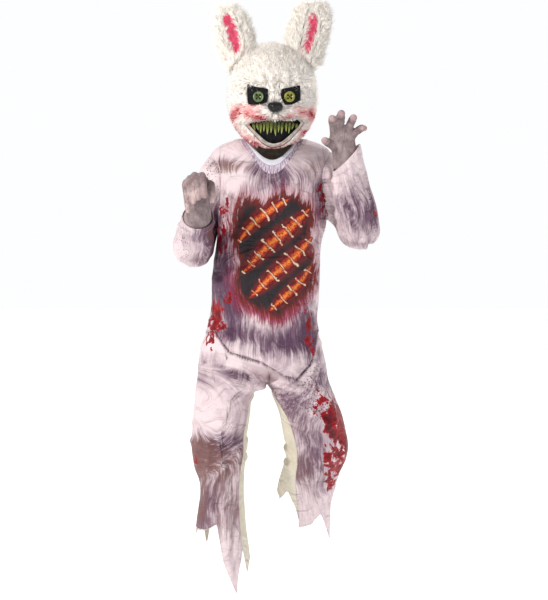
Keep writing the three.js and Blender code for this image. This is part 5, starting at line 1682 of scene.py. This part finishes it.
def teethPaint():
    paint = Paint("teethRubber")
    along = paint.joined(paint.x * 420, paint.y * 300, paint.z * 55)
    streak = along.noise(1.0, 3.0)
    colour = (streak * 0.8 + paint.field("reach") * 0.5).ease(0.3, 0.85)
    colour = colour.blend((0.025, 0.035, 0.006), (0.19, 0.22, 0.03))
    tip = paint.field("reach").ease(0.55, 1.0)
    colour = (tip * 0.5).blend(colour, (0.46, 0.46, 0.17))
    # Darker towards the gum and in noisy patches
    darkerTowardsGum = (paint.noise(70.0, 3.0) - paint.field("reach") * 0.45).ease(0.3, 0.55)
    colour = (darkerTowardsGum * 0.75).blend(colour, (0.02, 0.022, 0.008))
    return paint.finish(colour, 0.28 + streak * 0.16, streak, 0.0006, 0.35)


def elasticPaint(name, light, dark):
    paint = Paint(name)
    rib = (paint.v * (2 * math.pi / 0.0022)).wave()
    cross = (paint.u * (2 * math.pi / 0.0017)).wave()
    soil = paint.noise(22.0, 3.0)
    # Thread crests lighter with painted shade between the ribs and cross threads, plus darker soil
    colour = (rib * 0.5 + cross * 0.2 + soil * 0.5).ease(0.2, 1.0).blend(dark, light)
    return paint.finish(colour, 0.75, rib + cross * 0.5, 0.0005)


# Thin knitted gloves printed grey, with pink finger ends
def glovePaint():
    paint = Paint("gloveKnit")
    ribs = (paint.x * 2600 + paint.noise(30.0) * 5).wave()
    cloud = paint.noise(40.0, 4.0, 0.6)
    colour = (cloud * 0.95 + ribs * 0.05).ease(0.3, 0.72).blend((0.2, 0.145, 0.15), (0.36, 0.28, 0.28))
    edge = paint.field("tip") + (paint.noise(120.0, 3.0) - 0.5) * 0.2
    pink = edge.ease(0.58, 0.98)
    flesh = cloud.ease(0.35, 0.7).blend((0.38, 0.26, 0.26), (0.6, 0.45, 0.43))
    colour = pink.blend(colour, flesh)
    line = edge.ease(0.48, 0.57) * edge.ease(0.68, 0.6)
    colour = (line * 0.6).blend(colour, (0.2, 0.11, 0.115))
    crease = paint.scaled(1, 1, 2.4).noise(70.0, 3.0)
    vein = (paint.scaled(1.6, 1, 0.6).noise(38.0, 2.0) - 0.5).size().ease(0.035, 0.0)
    colour = (vein * 0.45).blend(colour, (0.11, 0.075, 0.08))
    return paint.finish(colour, 0.72, ribs * 0.12 + crease * 0.9, 0.0011)


# White ribbing above with painted shade in its rib valleys, the body's print below its seam
def neckPaint():
    paint = Paint("neckRib")
    ribs = (paint.field("ribTurn") * 190).wave()
    cloud = paint.noise(40.0, 3.0)
    # Rib valleys darker than the crests as painted shade
    white = (ribs * 0.5 + cloud * 0.4).ease(0.1, 0.8).blend((0.6, 0.6, 0.68), (0.88, 0.88, 0.92))
    strokes = paint.joined(paint.field("ribTurn") * 26, paint.field("ribShare") * 1.5).noise(1.0, 4.0, 0.65)
    printed = strokes.ease(0.36, 0.6).blend((0.17, 0.1, 0.18), (0.66, 0.56, 0.64))
    lower = (paint.field("ribShare") + (cloud - 0.5) * 0.06).ease(0.4, 0.46)
    colour = lower.blend(white, printed)
    seam = ((paint.field("ribShare") - 0.43).size()).ease(0.05, 0.0)
    colour = (seam * 0.5).blend(colour, (0.3, 0.24, 0.32))
    return paint.finish(colour, 0.62, ribs * (1 - lower) - seam * 0.8, 0.0008)


def threadPaint(name, colour):
    paint = Paint(name)
    twist = (paint.x * 2600 + paint.z * 2600).wave()
    shade = tuple(value * 0.55 for value in colour)
    return paint.finish(twist.blend(shade, colour), 0.7, twist, 0.0002)


# Loose threads where the cloth is cut ragged, from pairs of a panel and its hem
def frayedHem(name, panels, count, seed):
    chance = np.random.default_rng(seed)
    starts, ends = [], []
    for panel, hem in panels:
        bm = bmesh.new()
        bm.from_mesh(panel.data)
        for edge in bm.edges:
            first = edge.verts[0].co / mm
            if edge.is_boundary and first.z < hemAt(hem, first.x) + 7:
                starts.append(edge.verts[0].co[:])
                ends.append(edge.verts[1].co[:])
        bm.free()
    starts, ends = np.array(starts) / mm, np.array(ends) / mm
    chosen = chance.integers(0, len(starts), count)
    share = chance.uniform(size=(count, 1))
    roots = starts[chosen] * (1 - share) + ends[chosen] * share + np.array((0, 0, 0.6))
    ways = chance.normal(0, 0.35, (count, 3)) + np.array((0, 0, -1.0))
    normals = unit(np.cross(ways, chance.normal(0, 1, (count, 3))))
    lengths = chance.uniform(2.5, 7, count) * np.where(chance.uniform(size=count) < 0.08, 2.6, 1.0)
    tints = furTints(chance, count, (0.74, 0.64, 0.62), (0.4, 0.3, 0.34), 0.2)
    return strandMesh(name, roots, ways, normals, lengths, np.full(count, 0.55), tints, 0.12, seed)


# Rows of short stitches along ring paths in millimetres
def stitchRows(name, paths, gap=3.4):
    bm = bmesh.new()
    for path in paths:
        steps = pathSteps(path)
        for start in np.arange(0, steps[-1] - gap, gap):
            places = alongPath(start + np.array((0, 0.5, 1)) * gap * 0.62, steps, path)
            if np.linalg.norm(places[0] - places[2]) > 0.6:
                tubeAlong(bm, [Vector(place) for place in places], [0.3, 0.45, 0.3], 5)
    return addObject(name, bm)



def declare(piece, node, material):
    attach(piece, "root")
    if node:
        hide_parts(node)
    piece.data.materials.clear()
    piece.data.materials.append(material)
    return piece


makeCamera()
makeStudio()
print("stage: camera and studio")
sleevePrint = printPaint("sleevePrint", 0.45, 0.9)
legPrint = printPaint("legPrint", 0.42, 0.75)
chestPrint = printPaint("chestPrint", 0.45, 0.5, True)
plainCloth = plainPaint()
topFront, topBack = buildTop()
sleeves = {"left": sleevePart("sleeveLeft", leftFrames, leftSleeveCreases, 11),
           "right": sleevePart("sleeveRight", rightFrames, rightSleeveCreases, 12)}
trousers = buildTrousers()
clothParts = {
    "top_front": (topFront, chestPrint), "top_back": (topBack, plainCloth),
    "sleeve_left": (sleeves["left"], sleevePrint), "sleeve_right": (sleeves["right"], sleevePrint),
    "trouser_front_left": (trousers["frontLeft"], legPrint), "trouser_back_left": (trousers["backLeft"], plainCloth),
    "trouser_front_right": (trousers["frontRight"], legPrint),
    "trouser_back_right": (trousers["backRight"], plainCloth),
}
for node, (piece, material) in clothParts.items():
    writeClothFields(piece, "sleeve" in node, topFrontHem if "trouser_front" in node else None)
    declare(piece, node, material)
writeChestFields(topFront)
neckband, waistband = buildNeckband(), buildWaistband()
writeClothFields(waistband, False)
declare(neckband, "neckband", neckPaint())
declare(waistband, "trouser_waistband", plainCloth)
threadPale = furPaint("looseThread")
topThreads = frayedHem("topHemThreads", ((topFront, topFrontHem), (topBack, topBackHem)), 700, 61)
legThreads = {}
legHems = {"Left": (leftLegFrontHem, leftLegBackHem), "Right": (rightLegFrontHem, rightLegBackHem)}
for side, hems in legHems.items():
    panels = zip((trousers[f"front{side}"], trousers[f"back{side}"]), hems)
    legThreads[side] = frayedHem(f"legHemThreads{side}", panels, 620, 62)
    declare(legThreads[side], None, threadPale)
declare(topThreads, None, threadPale)
stitches = stitchRows("topStitches", stitchPaths)
declare(stitches, None, threadPaint("sewingThread", (0.62, 0.55, 0.58)))
for node, (piece, material) in clothParts.items():
    addWall(piece, cloth["wall"])
print("stage: top and trousers")

furMaterial = furPaint("longFur")
pinkPile = furPaint("pinkPile")
skin, faceFur, crownFur = buildMaskFur()
declare(skin, "mask_face", backingPaint("furBacking", (0.75, 0.7, 0.64), (0.4, 0.35, 0.3)))
declare(faceFur, None, furMaterial)
declare(crownFur, None, furMaterial)
earBacking = backingPaint("earBacking", (0.62, 0.57, 0.5), (0.3, 0.26, 0.22))
pinkBacking = backingPaint("pinkBacking", (0.8, 0.11, 0.2), (0.3, 0.02, 0.06))
for side in ("left", "right"):
    earSkin, hair = buildEar(side)
    declare(earSkin, f"mask_ear_{side}", earBacking)
    declare(hair, None, furMaterial)
    patch, pile = buildLining(side)
    declare(patch, f"ear_lining_{side}", pinkBacking)
    declare(pile, None, pinkPile)
print("stage: mask fur and ears")

felt = feltPaint()
buttonColours = {"Left": ((0.12, 0.19, 0.04), (0.05, 0.085, 0.02)),
                 "Right": ((0.34, 0.33, 0.03), (0.15, 0.14, 0.012))}
threadBlack = threadPaint("blackThread", (0.035, 0.03, 0.032))
for side, eye in (("Left", leftEye), ("Right", rightEye)):
    pad, disc = buildEye(side, eye)
    thread = buildThread(side, eye["button"])
    declare(pad, f"eye_pad_{side.lower()}", felt)
    buttonMaterial = buttonPaint(f"button{side}", *buttonColours[side])
    declare(disc, f"eye_button_{side.lower()}", buttonMaterial)
    declare(thread, None, threadBlack)
declare(buildNose(), "nose", nosePaint())
declare(buildLip(), "lip_rim", rubberPaint())
declare(buildTeeth(), "teeth", teethPaint())
mouthCloth = declare(buildMouthLining(), "mouth_lining", felt)
strapPaint = elasticPaint("strapElastic", (0.07, 0.07, 0.075), (0.012, 0.012, 0.013))
strap = declare(buildStrap(), "mask_strap", strapPaint)
print("stage: face")

knit = glovePaint()
for side, palm, fingers in (("left", leftPalm, leftFingers), ("right", rightPalm, rightFingers)):
    hand = declare(buildGlove(f"glove{side.title()}", palm, fingers), f"glove_{side}", knit)
print("stage: gloves")

pieces = [holder for holder in bpy.data.objects if holder.type == "MESH" and "_" not in holder.name]
print("pieces", {holder.name: len(holder.data.polygons) for holder in pieces})
